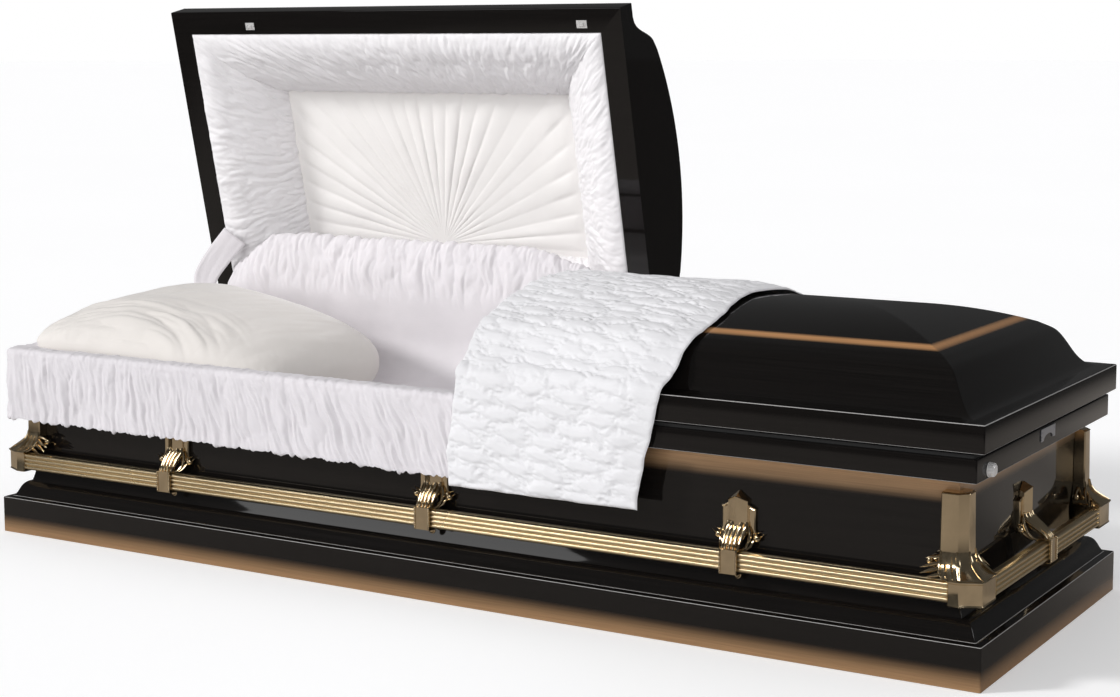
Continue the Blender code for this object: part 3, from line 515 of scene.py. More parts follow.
PAINT_BASE = paint("lacquer_base", [(-0.006, 0.038)])
PAINT_BODY = paint("lacquer_body", [(0.282, 0.320, 0.3290, 0.3296)], (0.60, 0.37, 0.20))
PAINT_LID = paint("lacquer_lid", [(0.5135, 0.5184, 0.5192, 0.5230)], (0.78, 0.40, 0.17))
PAINT_PLAIN = paint("lacquer_plain", [])
GOLD_CAST = gold("gold_plate_polished", (0.80, 0.645, 0.425), 0.09, 0.20)
GOLD_BAR = gold("gold_satin_bar", (0.84, 0.685, 0.44), 0.26, 0.28, 0.0)
STEEL = metal("hinge_zinc", (0.52, 0.52, 0.53), 0.32, 0.48)
BRIGHT = metal("bright_nickel", (0.86, 0.85, 0.84), 0.20, 0.34, 0.5)
# One white crepe in copies whose brightness differs only to stand in for light. This darker copy is painted shade, used
# on the front apron and the wall and foot linings.
CREPE_PAINTED_SHADE = cloth("white_crepe_painted_shade", (0.69, 0.662, 0.685))
# Lighter copy for the lid border: painted light against the shade on its downward-facing side.
BORDER_CREPE_PAINTED_LIGHT = cloth("border_crepe_painted_light", (0.85, 0.83, 0.84))
# Darker copy for the back apron and the stay: painted shade.
BACK_CREPE_PAINTED_SHADE = cloth("back_crepe_painted_shade", (0.75, 0.718, 0.74))
# Pale grey base colour for small rounded edges: a painted highlight.
PAINTED_EDGE_HIGHLIGHT = metal("painted_edge_highlight", (0.40, 0.39, 0.38), 0.30, 0.40, 0.0)
# Lighter copy for the mattress: painted light against the shade of the apron wall.
FINE_CREPE_PAINTED_LIGHT = cloth("fine_crepe_painted_light", (0.91, 0.885, 0.89), crinkle=220.0, strength=0.35)
QUILT = cloth("satin_white_quilted", (0.765, 0.76, 0.775), rough=0.5, sheen=0.2, crinkle=260.0, strength=0.22, satin=0.2, shade=0.96)
IVORY = cloth("satin_ivory", (0.775, 0.738, 0.70), rough=0.48, sheen=0.3, crinkle=60.0, strength=0.08, satin=0.15, shade=0.97)


def seal_material():
    n = Nodes("seal_rubber")
    n.set(Base_Color=(0.02, 0.02, 0.02), Roughness=n.range(n.noise(400.0), 0.3, 0.7, 0.6, 0.8), Normal=n.bump(n.noise(900.0), 0.2, 0.0002))
    return n.mat


SEAL = seal_material()

# ---------------------------------------------------------------- base and body
ogee = through([(0.0172, 0.0766), (0.0205, 0.0820), (0.0238, 0.0892), (0.0275, 0.0958), (0.0318, 0.1005), (BASE_TOP_INSET, BASE_TOP)], 5)
profile = fillet([(0.0, 0.0, 0), (0.0, BASE_BAND, 0.0016), (BASE_LEDGE, BASE_BAND + 0.0012, 0.0010), (0.0172, 0.0766, 0)], 4)[:-1]
levels = [(BASE_A - d, BASE_B - d, z) for d, z in profile + ogee]
levels += [(WELL_A + GAP, WELL_B + GAP, BASE_TOP), (WELL_A + GAP, WELL_B + GAP, 0.0)]
base = shell("base_moulding_finish", levels, PAINT_BASE, "casket", r=0.0030, loop=True)
# painted highlight along the base's ledge edge
add_painted_edge_highlight(base, [BASE_BAND + 0.0004])
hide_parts("base_moulding")

flare = through([(0.0125, BASE_TOP + GAP), (0.0118, 0.1065), (0.0075, 0.122), (0.0030, 0.148), (0.0004, 0.1745)], 4)
levels = [(WELL_A, WELL_B, 0.0), (WELL_A, WELL_B, BASE_TOP + GAP)]
levels += [(PANEL_A + d, PANEL_B + d, z) for d, z in flare]
levels += [(PANEL_A, PANEL_B, CREASE_Z + 0.001), (PANEL_A, PANEL_B, 0.30)]
under = fillet([(0.0, 0.30, 0), (0.0, FLANGE_Z0, 0.0015), (FLANGE_A - PANEL_A, FLANGE_Z0, 0.0018), (FLANGE_A - PANEL_A, FLANGE_Z1, 0.0020), (FLANGE_A - PANEL_A - FLANGE_WIDTH, FLANGE_Z1, 0.0015), (FLANGE_A - PANEL_A - FLANGE_WIDTH, FLANGE_Z0 - WALL, 0)], 4)
levels += [(PANEL_A + d, PANEL_B + d * (FLANGE_B - PANEL_B) / (FLANGE_A - PANEL_A), z) for d, z in under[1:]]
levels += [
    (PANEL_A - WALL, PANEL_B - WALL, FLANGE_Z0 - WALL),
    (PANEL_A - WALL, PANEL_B - WALL, CREASE_Z),
    (WELL_A - WALL, WELL_B - WALL, 0.150),
    (WELL_A - WALL, WELL_B - WALL, WALL),
]
body = shell("body_shell_finish", levels, PAINT_BODY, "casket", r=0.0030, caps=(True, True))
# painted highlight along the flange's lower edge
add_painted_edge_highlight(body, [FLANGE_Z0 + 0.0008])
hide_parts("body_shell")

seal = fillet([(0.006, FLANGE_Z1 + GAP, 0), (0.006, GASKET_Z1, 0.0012), (0.015, GASKET_Z1, 0.0012), (0.015, FLANGE_Z1 + GAP, 0)], 3)
gasket = shell("rim_seal_finish", [(FLANGE_A - d, FLANGE_B - d, z) for d, z in seal], SEAL, "casket", r=0.004, loop=True)
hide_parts("rim_gasket")


# ---------------------------------------------------------------- lids
def crown(inset):
    y = RIM_B - inset
    return CROWN_APEX - CROWN_R + math.sqrt(CROWN_R**2 - y * y)


def lid(name, side, end, node, body_name, opened):
    sweep = through([(0.0410, 0.4282), (0.0480, 0.4336), (0.0554, 0.4420), (0.0625, 0.4530), (0.0698, 0.4665), (0.0760, 0.4775), (0.0820, 0.4868), (0.0880, 0.4938), (0.0948, 0.4990), (SHOULDER_INSET, crown(SHOULDER_INSET))], 4)
    outer = fillet([(RIM_WIDTH, RIM_Z0, 0), (0.0, RIM_Z0, 0.0016), (0.0, RIM_Z1, 0.0022), (0.0300, RIM_Z1 + 0.0004, 0.002), (0.0410, 0.4282, 0)], 4)[1:-1] + sweep
    outer += [(d, crown(d)) for d in (0.120, 0.128, 0.1375)] + [(d, crown(d)) for d in np.linspace(0.150, RIM_B, 22)]
    inner = [(RIM_WIDTH, RIM_Z0), (RIM_WIDTH, 0.4245), (0.0600, 0.4380), (0.0735, 0.4640), (0.0830, 0.4810), (0.0960, 0.4935), (SHOULDER_INSET + 0.001, crown(SHOULDER_INSET) - LID_SKIN)]
    inner += [(d, crown(d) - LID_SKIN) for d in (0.1375, 0.175, 0.220, 0.265, 0.310, RIM_B)]
    levels, ends = [], []
    for k, (d, z) in enumerate(list(reversed(outer)) + inner):
        levels.append((RIM_A - d, RIM_B - d if RIM_B - d > 1e-6 else 0.0, z))
        j = k - len(outer)
        ends.append(end if j < 0 else end + side * (RIM_WIDTH if j < 2 else LID_SKIN))
    obj = shell(name, levels, PAINT_LID, None, r=0.0030, split=(side, ends), opened=False, sharp=26)
    obj.data.materials.append(PAINT_PLAIN)
    for face in obj.data.polygons:
        if abs(face.normal.x) > 0.95 and abs(face.center.x - end) < 0.06 or face.normal.z < -0.3:
            face.material_index = 1
    if not opened:
        # painted highlight along the rim's top and bottom edges
        add_painted_edge_highlight(obj, [RIM_Z0 + 0.0008, RIM_Z1 - 0.0006])
    if opened:
        obj.matrix_world = OPEN
    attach(obj, body_name)
    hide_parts(node)
    return obj


lid("head_lid_finish", -1, SPLIT, "head_lid_shell", "head_lid", True)
lid("foot_lid_finish", 1, SPLIT + SPLIT_GAP, "foot_lid_shell", "foot_lid", False)


def catch(name, x, node):
    b = Build()
    y = -RIM_B + 0.0326
    b.box(x - 0.012, x + 0.012, y - 0.008, y + 0.008, RIM_Z0 - 0.0020, RIM_Z0 - 0.0003)
    b.rings([[(x - w, y - d, z), (x + w, y - d, z), (x + w, y + d, z), (x - w, y + d, z)] for w, d, z in ((0.0055, 0.0040, RIM_Z0 - 0.0015), (0.0055, 0.0035, RIM_Z0 - 0.0040), (0.0035, 0.0020, RIM_Z0 - 0.0052))])
    for s in (-0.0088, 0.0088):
        b.ball((x + s, y, RIM_Z0 - 0.0018), 0.0020, 12, 8)
    obj = b.object(name, BRIGHT, None, False, 35, bevel=0.0004)
    obj.matrix_world = OPEN
    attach(obj, "head_lid")
    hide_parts(node)


catch("lid_catch_left_finish", -0.839, "lid_catch_left")
catch("lid_catch_right_finish", 0.014, "lid_catch_right")

for node_name, node in frame["nodes"].items():
    if node_name.startswith("hinge_"):
        node.data.materials.clear()
        node.data.materials.append(STEEL)
        rounding = node.modifiers.new("edges", "BEVEL")
        rounding.width, rounding.segments, rounding.limit_method = 0.0003, 2, "ANGLE"


# ---------------------------------------------------------------- handle bars
def bar_section(out, back):
    """Four round reeds down the front, a flat top with a fine groove."""
    pts = [(back, BAR_Z0 + 0.0012), (back, BAR_Z1 - 0.0012), (back + 0.0012, BAR_Z1), (back + 0.0105, BAR_Z1), (back + 0.0110, BAR_Z1 - 0.0009), (back + 0.0120, BAR_Z1 - 0.0009), (back + 0.0125, BAR_Z1)]
    edges = (BAR_Z1 - 0.0008, 0.1602, 0.1518, 0.1434, BAR_Z0 + 0.0008)
    for top, low in zip(edges, edges[1:]):
        mid, half = (top + low) / 2, (top - low) / 2
        for k in range(7):
            a = math.pi * (0.5 - (k + 0.25) / 6.5)
            pts.append((out - 0.0036 + 0.0036 * math.cos(a), mid + half * 0.93 * math.sin(a)))
    pts += [(out - 0.0040, BAR_Z0), (back + 0.0012, BAR_Z0)]
    return pts


def bar(name, node, section, place, length):
    b = Build()
    b.rings([[place(u, v, t) for u, v in section] for t in (-length, length)])
    obj = b.object(name, GOLD_BAR, "casket", sharp=40)
    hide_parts(node)


LONG, SHORT = bar_section(BAR_FRONT, BAR_BACK), bar_section(BAR_END_OUT, BAR_END_IN)
bar("bar_front_finish", "handle_bar_front", LONG, lambda u, v, t: (t, -u, v), FOOT_A - 0.006)
bar("bar_back_finish", "handle_bar_back", LONG, lambda u, v, t: (t, u, v), FOOT_A - 0.006)
bar("bar_foot_finish", "handle_bar_foot", SHORT, lambda u, v, t: (u, t, v), FOOT_B - 0.006)
bar("bar_head_finish", "handle_bar_head", SHORT, lambda u, v, t: (-u, t, v), FOOT_B - 0.006)

# ---------------------------------------------------------------- lugs
LUG_HALF, LUG_CENTRE, LUG_DEPTH, LUG_EDGE, LUG_SIDE, LUG_TOP, SLEEVE = 0.031, 0.018, 0.0185, 0.0095, 0.0070, 0.2660, 0.0165


def lug(name, node, place, reach):
    """Stepped crystal plate, fluted neck, ball knobs with small fins and a beaded clasp."""
    b = Build()
    high = LUG_TOP - 0.0235
    right = [(0.0345, 0.1880), (0.0345, 0.1930), (LUG_HALF, 0.2020), (LUG_HALF, high - 0.0055)]
    outline = right + [(0, high + 0.006)] + [(-s, z) for s, z in reversed(right)]
    inner = [(s - 0.0022, z + 0.0015) for s, z in right[:3]] + [(LUG_HALF - 0.0024, high - 0.0078)]
    face = inner + [(0, high + 0.0035)] + [(-s, z) for s, z in reversed(inner)]
    b.rings([[(s, GAP, z) for s, z in outline], [(s, LUG_SIDE - 0.0018, z) for s, z in outline], [(s, LUG_SIDE, z) for s, z in face]])
    back = 2.5 * GAP
    # the crystal: faces bevelled along their top edges
    section = [(-LUG_CENTRE, back), (-LUG_CENTRE, LUG_EDGE), (-0.0012, LUG_DEPTH - 0.0006), (0.0, LUG_DEPTH), (0.0012, LUG_DEPTH - 0.0006), (LUG_CENTRE, LUG_EDGE), (LUG_CENTRE, back)]
    tops = [LUG_TOP - 0.0135, LUG_TOP - 0.0165, LUG_TOP - 0.0086, LUG_TOP - 0.0080, LUG_TOP - 0.0086, LUG_TOP - 0.0165, LUG_TOP - 0.0135]
    b.rings([[(s, o, 0.200) for s, o in section], [(s, o, z) for (s, o), z in zip(section, tops)], [(s * 0.10, back + (o - back) * 0.12, LUG_TOP - 0.0002) for s, o in section]])
    # lips along the top edges, which catch the light
    for k in (1, 3):
        a, c = section[k], section[k + 2]
        b.tube([(a[0], a[1], tops[k]), (c[0], c[1], tops[k + 2])], 0.0011, 8)
    for s in (-1, 1):
        b.tube([(s * LUG_CENTRE, back + 0.001, LUG_TOP - 0.0135), (s * LUG_CENTRE, LUG_EDGE, LUG_TOP - 0.0165)], 0.0010, 8)
        b.tube([(s * LUG_CENTRE, LUG_SIDE, high + 0.0008), (s * LUG_HALF, LUG_SIDE - 0.0008, high - 0.0055)], 0.0011, 8)
        b.tube([(s * LUG_HALF, 0.0012, high - 0.0055), (s * LUG_HALF, LUG_SIDE - 0.0008, high - 0.0055)], 0.0010, 8)
        b.tube([(s * (LUG_CENTRE + 0.0010), LUG_SIDE + 0.0006, high), (s * (LUG_CENTRE + 0.0010), LUG_SIDE + 0.0006, 0.212)], 0.0013, 8)
    # fluted neck
    for i, (top, low) in enumerate(((-0.0165, -0.0142), (-0.0085, -0.0074), (0.0, 0.0), (0.0085, 0.0074), (0.0165, 0.0142))):
        pts, radii = [], []
        for k in range(9):
            t = k / 8
            o = LUG_EDGE + (0.0035 if i in (1, 2, 3) else 0.0) + (reach - 0.0040 - LUG_EDGE) * float(smooth(t)) ** 1.10
            pts.append((top + (low - top) * t, min(o, reach - 0.0015), 0.2135 + (BAR_Z1 + 0.0018 - 0.2135) * t))
            radii.append(0.0026 + 0.0026 * math.sin(math.pi * min(1.0, t * 1.2 + 0.12)) ** 0.7 * (1 - 0.25 * t))
        b.tube(pts, radii, 12)
    pts = []
    rings = []
    for k in range(7):
        t = k / 6
        out = LUG_EDGE + (reach - 0.004 - LUG_EDGE) * float(smooth(t)) ** 1.15
        z = 0.2080 + (BAR_Z1 + 0.0022 - 0.2080) * t
        w = 0.0165 + 0.0040 * (1 - t) ** 2 - 0.0020 * math.sin(math.pi * t)
        rear = max(out - 0.0105 + 0.004 * t, 3 * GAP)
        rings.append([(-w, rear, z), (-w, out - 0.001, z), (w, out - 0.001, z), (w, rear, z)])
    b.rings(rings)
    # side ribs running down to the bar, and the knobs with their fins
    for s in (-1, 1):
        b.tube([(s * 0.0200, 0.0090, 0.2060), (s * 0.0240, 0.0120, 0.1940), (s * 0.0245, 0.0180, 0.1820), (s * 0.0215, 0.0270, 0.1735), (s * 0.0175, 0.0350, 0.1700)], [0.0030, 0.0034, 0.0032, 0.0026, 0.0018], 10)
        b.tube([(s * 0.0300, 0.0070, 0.1950), (s * 0.0310, 0.0110, 0.1840), (s * 0.0285, 0.0200, 0.1760), (s * 0.0240, 0.0290, 0.1705)], [0.0026, 0.0028, 0.0022, 0.0012], 10)
        b.ball((s * (LUG_HALF + 0.0050), 0.0085, 0.1880), 0.0070, 20, 12)
        b.tube([(s * 0.0320, 0.0060, 0.1960), (s * 0.0385, 0.0080, 0.1985), (s * 0.0430, 0.0070, 0.2000)], [0.0026, 0.0020, 0.0004], 8, 0.6)
        b.tube([(s * 0.0400, 0.0060, 0.1900), (s * 0.0450, 0.0085, 0.1930), (s * 0.0485, 0.0080, 0.1965)], [0.0030, 0.0018, 0.0003], 8, 0.6)
    # clasp round the bar
    inner = (reach - 0.0200 - 0.0006, reach + 0.0006, BAR_Z0 - 0.0006, BAR_Z1 + 0.0006)
    outer = (inner[0] - 0.0030, inner[1] + 0.0030, inner[2] - 0.0030, inner[3] + 0.0030)

    def band(s, lims):
        o0, o1, z0, z1 = lims
        return [(s, o0, z0), (s, o1, z0), (s, o1, z1), (s, o0, z1)]

    b.rings([band(-SLEEVE, inner), band(-SLEEVE, outer), band(SLEEVE, outer), band(SLEEVE, inner)], loop=True)
    for s in (-1, 1):
        cs = s * (SLEEVE - 0.0014)
        o1, z0, z1, o0 = outer[1] + 0.0002, outer[2], outer[3], outer[0]
        line = [(cs, o0 + 0.002, z1), (cs, o1 - 0.0035, z1), (cs, o1 - 0.0012, z1 - 0.0006), (cs, o1, z1 - 0.0040), (cs, o1, z0 + 0.0040), (cs, o1 - 0.0012, z0 + 0.0006), (cs, o1 - 0.0035, z0), (cs, o0 + 0.002, z0)]
        b.tube(line, 0.0017, 8)
        for k in range(10):
            b.ball((cs, o1 + 0.0002, z1 - 0.0030 - k * (z1 - z0 - 0.006) / 9), 0.0021, 8, 6)
    # finial under the clasp, with a small curl
    b.ball((0.0070, inner[0] + 0.001, outer[2] - 0.0046), 0.0056, 16, 10)
    curl = [(0.0070 + 0.0060 * math.cos(a), inner[0] + 0.001, outer[2] - 0.0050 + 0.0050 * math.sin(a)) for a in np.linspace(-2.4, 1.2, 9)]
    b.tube(curl, [0.0012 + 0.0008 * k / 8 for k in range(9)], 8)
    obj = b.object(name, GOLD_CAST, "casket", sharp=32, place=place, bevel=None)
    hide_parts(node)


REACH, END_REACH = BAR_FRONT - PANEL_B, BAR_END_OUT - PANEL_A
for i, lug_x in enumerate(LUG_X):
    lug(f"lug_front_{i + 1}_finish", f"lug_front_{i + 1}", lambda s, o, z, c=lug_x: (c + s, -PANEL_B - o, z), REACH)
    lug(f"lug_back_{i + 1}_finish", f"lug_back_{i + 1}", lambda s, o, z, c=lug_x: (c - s, PANEL_B + o, z), REACH)
lug("lug_foot_finish", "lug_foot", lambda s, o, z: (PANEL_A + o, s, z), END_REACH)
lug("lug_head_finish", "lug_head", lambda s, o, z: (-PANEL_A - o, -s, z), END_REACH)


# ---------------------------------------------------------------- corner castings
def corner(name, node, sx, sy):
    """Faceted column that flares to the foot holding both bars, with flutes, fins and knobs."""
    levels = (
        (0.3085, 0.0105, 0.0005, 0.0205, 0.0195, 0.0080, 0.0080),
        (0.3075, 0.0175, 0.0005, 0.0218, 0.0208, 0.0120, 0.0120),
        (0.3050, 0.0205, 0.0005, 0.0225, 0.0215, 0.0145, 0.0145),
        (0.2450, 0.0212, 0.0005, 0.0230, 0.0220, 0.0145, 0.0145),
        (0.2130, 0.0216, 0.0005, 0.0233, 0.0230, 0.0148, 0.0148),
        (0.2040, 0.0228, 0.0005, 0.0235, 0.0240, 0.0155, 0.0152),
        (0.1980, 0.0245, 0.0010, 0.0235, 0.0250, 0.0165, 0.0155),
        (0.1930, 0.0268, 0.0010, 0.0232, 0.0260, 0.0182, 0.0158),
        (0.1890, 0.0295, 0.0010, 0.0225, 0.0270, 0.0200, 0.0160),
        (0.1850, 0.0330, 0.0012, 0.0214, 0.0280, 0.0230, 0.0160),
        (0.1810, 0.0370, 0.0015, 0.0200, 0.0290, 0.0260, 0.0160),
        (0.1770, 0.0415, 0.0018, 0.0165, 0.0296, 0.0295, 0.0162),
        (0.1740, 0.0450, 0.0022, 0.0115, 0.0300, 0.0330, 0.0165),
        (0.1715, 0.0475, 0.0030, 0.0, 0.0, 0.0340, 0.0170),
        (0.1690, 0.0475, 0.0032, 0.0, 0.0, 0.0340, 0.0170),
        (0.1675, 0.0460, 0.0035, 0.0, 0.0, 0.0340, 0.0170),
        (0.1345, 0.0460, 0.0085, 0.0, 0.0, 0.0340, 0.0170),
        (0.1320, 0.0472, 0.0088, 0.0, 0.0, 0.0340, 0.0170),
        (0.1305, 0.0460, 0.0090, 0.0, 0.0, 0.0340, 0.0170),
    )
    b = Build()
    rings = []
    for z, out, inn, along, across, cut_x, cut_y in levels:
        xo, yo = PANEL_A + out + (0.0070 if out > 0.044 else 0.0065 * max(0.0, (out - 0.022) / 0.0235)), PANEL_B + out
        xi, yi = PANEL_A + inn, PANEL_B + inn
        xs, ys = PANEL_A - along, PANEL_B - across
        if z < 0.173:
            xs, ys = FOOT_A - 0.0055, FOOT_B - 0.0055
        rings.append(
            [
                (xs, yi, z),
                (xs, yo - 0.0022, z),
                (xs + 0.0022, yo, z),
                (xo - cut_x - 0.0012, yo, z),
                (xo - cut_x + 0.0012, yo - 0.0006, z),
                (xo - 0.0006, yo - cut_y + 0.0012, z),
                (xo, yo - cut_y - 0.0012, z),
                (xo, ys + 0.0022, z),
                (xo - 0.0022, ys, z),
                (xi, ys, z),
                (xi, yi, z),
            ]
        )
    b.rings(rings)
    # flutes down the flare, on the edges between the facets
    def edge(k, off=0.0006):
        return [(r[k][0] + off * 0.7, r[k][1] + off * 0.7, r[k][2]) for r in rings[4:13]]

    for k, width in ((3, 0.0026), (4, 0.0022), (6, 0.0024), (7, 0.0020), (2, 0.0020)):
        pts = edge(k)
        b.tube(pts, [0.0006 + width * math.sin(math.pi * min(0.97, (j + 0.6) / (len(pts)))) ** 0.8 for j in range(len(pts))], 10)
    for f in (0.33, 0.66):
        pts = [(r[2][0] + (r[3][0] - r[2][0]) * f, r[2][1] + (r[3][1] - r[2][1]) * f, r[2][2]) for r in rings[5:13]]
        b.tube(pts, [0.0005 + 0.0020 * math.sin(math.pi * min(0.97, (j + 0.6) / len(pts))) ** 0.8 for j in range(len(pts))], 8)
    # bead round the foot's upper edge
    b.tube([rings[13][k] for k in (1, 2, 3, 4, 5, 6, 7, 8)], 0.0016, 8)
    # lips along the top
    b.tube([rings[2][k] for k in (1, 2, 3, 4, 5, 6, 7, 8)], 0.0010, 8)
    # knobs and leaf fins, beside the bars
    s = PANEL_A - 0.0400
    b.ball((s, PANEL_B + 0.0150, 0.1930), 0.0068, 20, 12)
    for pts, radii in (
        ([(s + 0.020, 0.3270, 0.2030), (s + 0.004, 0.3300, 0.2010), (s - 0.004, 0.3310, 0.1985)], [0.0040, 0.0026, 0.0004]),
        ([(s + 0.022, 0.3290, 0.1950), (s + 0.004, 0.3350, 0.1890), (s - 0.012, 0.3390, 0.1840)], [0.0048, 0.0034, 0.0004]),
        ([(s + 0.026, 0.3330, 0.1870), (s + 0.004, 0.3400, 0.1810), (s - 0.010, 0.3440, 0.1760)], [0.0046, 0.0032, 0.0004]),
        ([(s + 0.032, 0.3370, 0.1790), (s + 0.014, 0.3440, 0.1750), (s + 0.000, 0.3490, 0.1715)], [0.0042, 0.0030, 0.0004]),
        ([(s + 0.010, 0.3160, 0.1970), (s + 0.004, 0.3220, 0.1900), (s + 0.010, 0.3260, 0.1830)], [0.0050, 0.0044, 0.0040]),
    ):
        b.tube(pts, radii, 10)
    e = PANEL_B - 0.0480
    b.ball((PANEL_A + 0.0130, e, 0.1880), 0.0064, 20, 12)
    for pts, radii in (
        ([(1.0300, e + 0.030, 0.2010), (1.0340, e + 0.012, 0.1930), (1.0420, e - 0.004, 0.1800)], [0.0044, 0.0030, 0.0004]),
        ([(1.0330, e + 0.034, 0.1930), (1.0400, e + 0.016, 0.1850), (1.0470, e + 0.000, 0.1730)], [0.0044, 0.0030, 0.0004]),
        ([(1.0380, e + 0.036, 0.1850), (1.0460, e + 0.018, 0.1780), (1.0530, e + 0.004, 0.1705)], [0.0042, 0.0028, 0.0004]),
        ([(1.0180, e + 0.030, 0.2000), (1.0180, e + 0.012, 0.1930), (1.0190, e + 0.002, 0.1860)], [0.0050, 0.0042, 0.0036]),
    ):
        b.tube(pts, radii, 10)
    obj = b.object(name, GOLD_CAST, "casket", sharp=30, place=lambda x, y, z: (sx * x, sy * y, z))
    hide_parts(node)


corner("corner_front_foot_finish", "corner_front_foot", 1, -1)
corner("corner_back_foot_finish", "corner_back_foot", 1, 1)
corner("corner_front_head_finish", "corner_front_head", -1, -1)
corner("corner_back_head_finish", "corner_back_head", -1, 1)

# ---------------------------------------------------------------- fittings on the foot end
b = Build()
cx = FLANGE_A + GAP
for x0, r0, x1, r1 in ((cx, 0.0122, cx + 0.0016, 0.0122), (cx + 0.0016, 0.0113, cx + 0.0100, 0.0104), (cx + 0.0100, 0.0098, cx + 0.0116, 0.0086)):
    b.rings([[(x, -0.2950 + r * math.cos(2 * math.pi * k / 32), 0.3440 + r * math.sin(2 * math.pi * k / 32)) for k in range(32)] for x, r in ((x0, r0), (x1, r1))])
for k in range(16):
    a = 2 * math.pi * k / 16
    b.tube([(cx + 0.0020, -0.2950 + 0.0112 * math.cos(a), 0.3440 + 0.0112 * math.sin(a)), (cx + 0.0098, -0.2950 + 0.0103 * math.cos(a), 0.3440 + 0.0103 * math.sin(a))], 0.0009, 6)
cap = b.object("tube_cap_finish", BRIGHT, "casket", sharp=35, bevel=0.0004)
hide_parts("tube_cap")

b = Build()
y0, y1, z0, z1 = -0.0410, 0.0310, 0.3440, 0.3655
arch = [(y0, z1), (y0, z0)]
for k in range(17):
    a = math.pi * k / 16
    arch.append((-0.005 - 0.024 * math.cos(a), z0 + 0.0005 + 0.0095 * math.sin(a)))
arch += [(y1, z0), (y1, z1)]
b.rings([[(x, y, z) for y, z in arch] for x in (FLANGE_A + GAP, FLANGE_A + 0.0022)])
for y in (y0 + 0.005, y1 - 0.005):
    b.ball((FLANGE_A + 0.0018, y, 0.3590), 0.0019, 12, 8)
plate = b.object("end_plate_finish", metal("plate_nickel", (0.42, 0.42, 0.44), 0.26, 0.40, 0.6), "casket", sharp=35, bevel=0.0003)
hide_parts("end_plate")

# ---------------------------------------------------------------- cloth shapes
def resample(points, count, per=12):
    """Even steps along a smooth curve: its points, its left-hand normals and lengths."""
    fine = np.array(through(points, per))
    steps = np.hypot(*np.diff(fine, axis=0).T)
    s = np.concatenate([[0.0], np.cumsum(steps)])
    t = np.linspace(0, s[-1], count)
    P = np.stack([np.interp(t, s, fine[:, 0]), np.interp(t, s, fine[:, 1])], -1)
    D = np.gradient(P, axis=0)
    D /= np.maximum(np.hypot(D[:, 0], D[:, 1]), 1e-9)[:, None]
    return P, np.stack([-D[:, 1], D[:, 0]], -1), t


def gathers(u, v, pitch, run, seed, wander=0.7):
    """Rounded puffs with sharp creases between, about pitch apart and run long."""
    w = u / pitch + wander * noise(u / (3.1 * pitch), v / (0.8 * run), seed)
    big = np.abs(noise(0.62 * w, v / run, seed + 1))
    mid = np.abs(noise(1.25 * w + 5.2, v / (0.6 * run), seed + 2))
    return 1.1 * big**0.75 + 0.6 * mid**0.75


# ---------------------------------------------------------------- mattress and wall lining
def mattress():
    nu, nv = 110, 56
    tu, tv = np.meshgrid(np.linspace(-1, 1, nu), np.linspace(-1, 1, nv), indexing="ij")
    U = np.sign(tu) * (1 - (1 - np.abs(tu)) ** 2.2)
    V = np.sign(tv) * (1 - (1 - np.abs(tv)) ** 1.8)
    f = np.clip((1 - np.abs(U) ** 60) * (1 - np.abs(V) ** 40), 0, 1) ** 0.25
    middle, half = (BED_TOP + WALL + GAP) / 2, (BED_TOP - WALL - GAP) / 2
    X, Y = 0.9950 * U, 0.2955 * V
    edge = 1 - np.clip((0.9950 - np.abs(X)) / 0.04, 0, 1) * np.clip((0.2955 - np.abs(Y)) / 0.04, 0, 1)
    soft = 0.0022 * fbm(X / 0.10, Y / 0.07, 31) - 0.0022
    top = np.stack([X, Y, middle + half * f + soft * f * (1 - edge)], -1)
    low = np.stack([X, Y, middle - half * f], -1)
    n = nu * nv
    faces = np.concatenate([grid_faces(nu, nv), grid_faces(nu, nv, start=n)[:, ::-1]])
    obj = make("mattress_finish", np.concatenate([top.reshape(-1, 3), low.reshape(-1, 3)]), faces, FINE_CREPE_PAINTED_LIGHT)
    bm = bmesh.new()
    bm.from_mesh(obj.data)
    bmesh.ops.remove_doubles(bm, verts=bm.verts, dist=0.0002)
    bmesh.ops.recalc_face_normals(bm, faces=bm.faces)
    bm.to_mesh(obj.data)
    bm.free()
    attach(obj, "casket")
    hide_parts("mattress")


mattress()


def wall_lining():
    """Thin padded cloth round the inside of the body, above the mattress."""
    section = through([(0.0, 0.0008), (0.0, 0.0800), (0.0052, 0.0812), (0.0118, 0.0760), (0.0148, 0.0500), (0.0140, 0.0200), (0.0128, 0.0008)], 3)
    rings = []
    for d, up in section:
        a, b, r = 1.0003 - d, 0.2981 - d, 0.012
        ring = []
        for n, (cx, cy, start) in enumerate(((-1, -1, 180), (1, -1, 270), (1, 1, 0), (-1, 1, 90))):
            for k in range(5):
                ang = math.radians(start + 90 * k / 4)
                ring.append((cx * (a - r) + r * math.cos(ang), cy * (b - r) + r * math.sin(ang)))
            nx, ny = ((1, -1), (1, 1), (-1, 1), (-1, -1))[n]
            count = 190 if n in (0, 2) else 56
            p, q = ring[-1], (nx * (a - r) if n in (0, 2) else nx * a, ny * b if n in (0, 2) else ny * (b - r))
            for k in range(1, count):
                ring.append((p[0] + (q[0] - p[0]) * k / count, p[1] + (q[1] - p[1]) * k / count))
        ring = np.array(ring)
        inward = -ring / np.array([a, b])
        inward = np.where(np.abs(inward) > 0.985, np.sign(inward), 0)
        length = np.concatenate([[0], np.cumsum(np.hypot(*np.diff(ring, axis=0).T))])
        show = min(1.0, d / 0.012) * 0.0022 if up > 0.003 else 0.0
        push = show * (gathers(length, np.full_like(length, up), 0.030, 0.09, 41) - 0.55)
        ring = ring + inward * push[:, None]
        rings.append([(x, y, BED_TOP + up) for x, y in ring])
    b = Build()
    b.rings(rings, loop=True)
    obj = b.object("wall_lining_finish", CREPE_PAINTED_SHADE, "casket", sharp=None)
    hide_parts("wall_lining")


wall_lining()


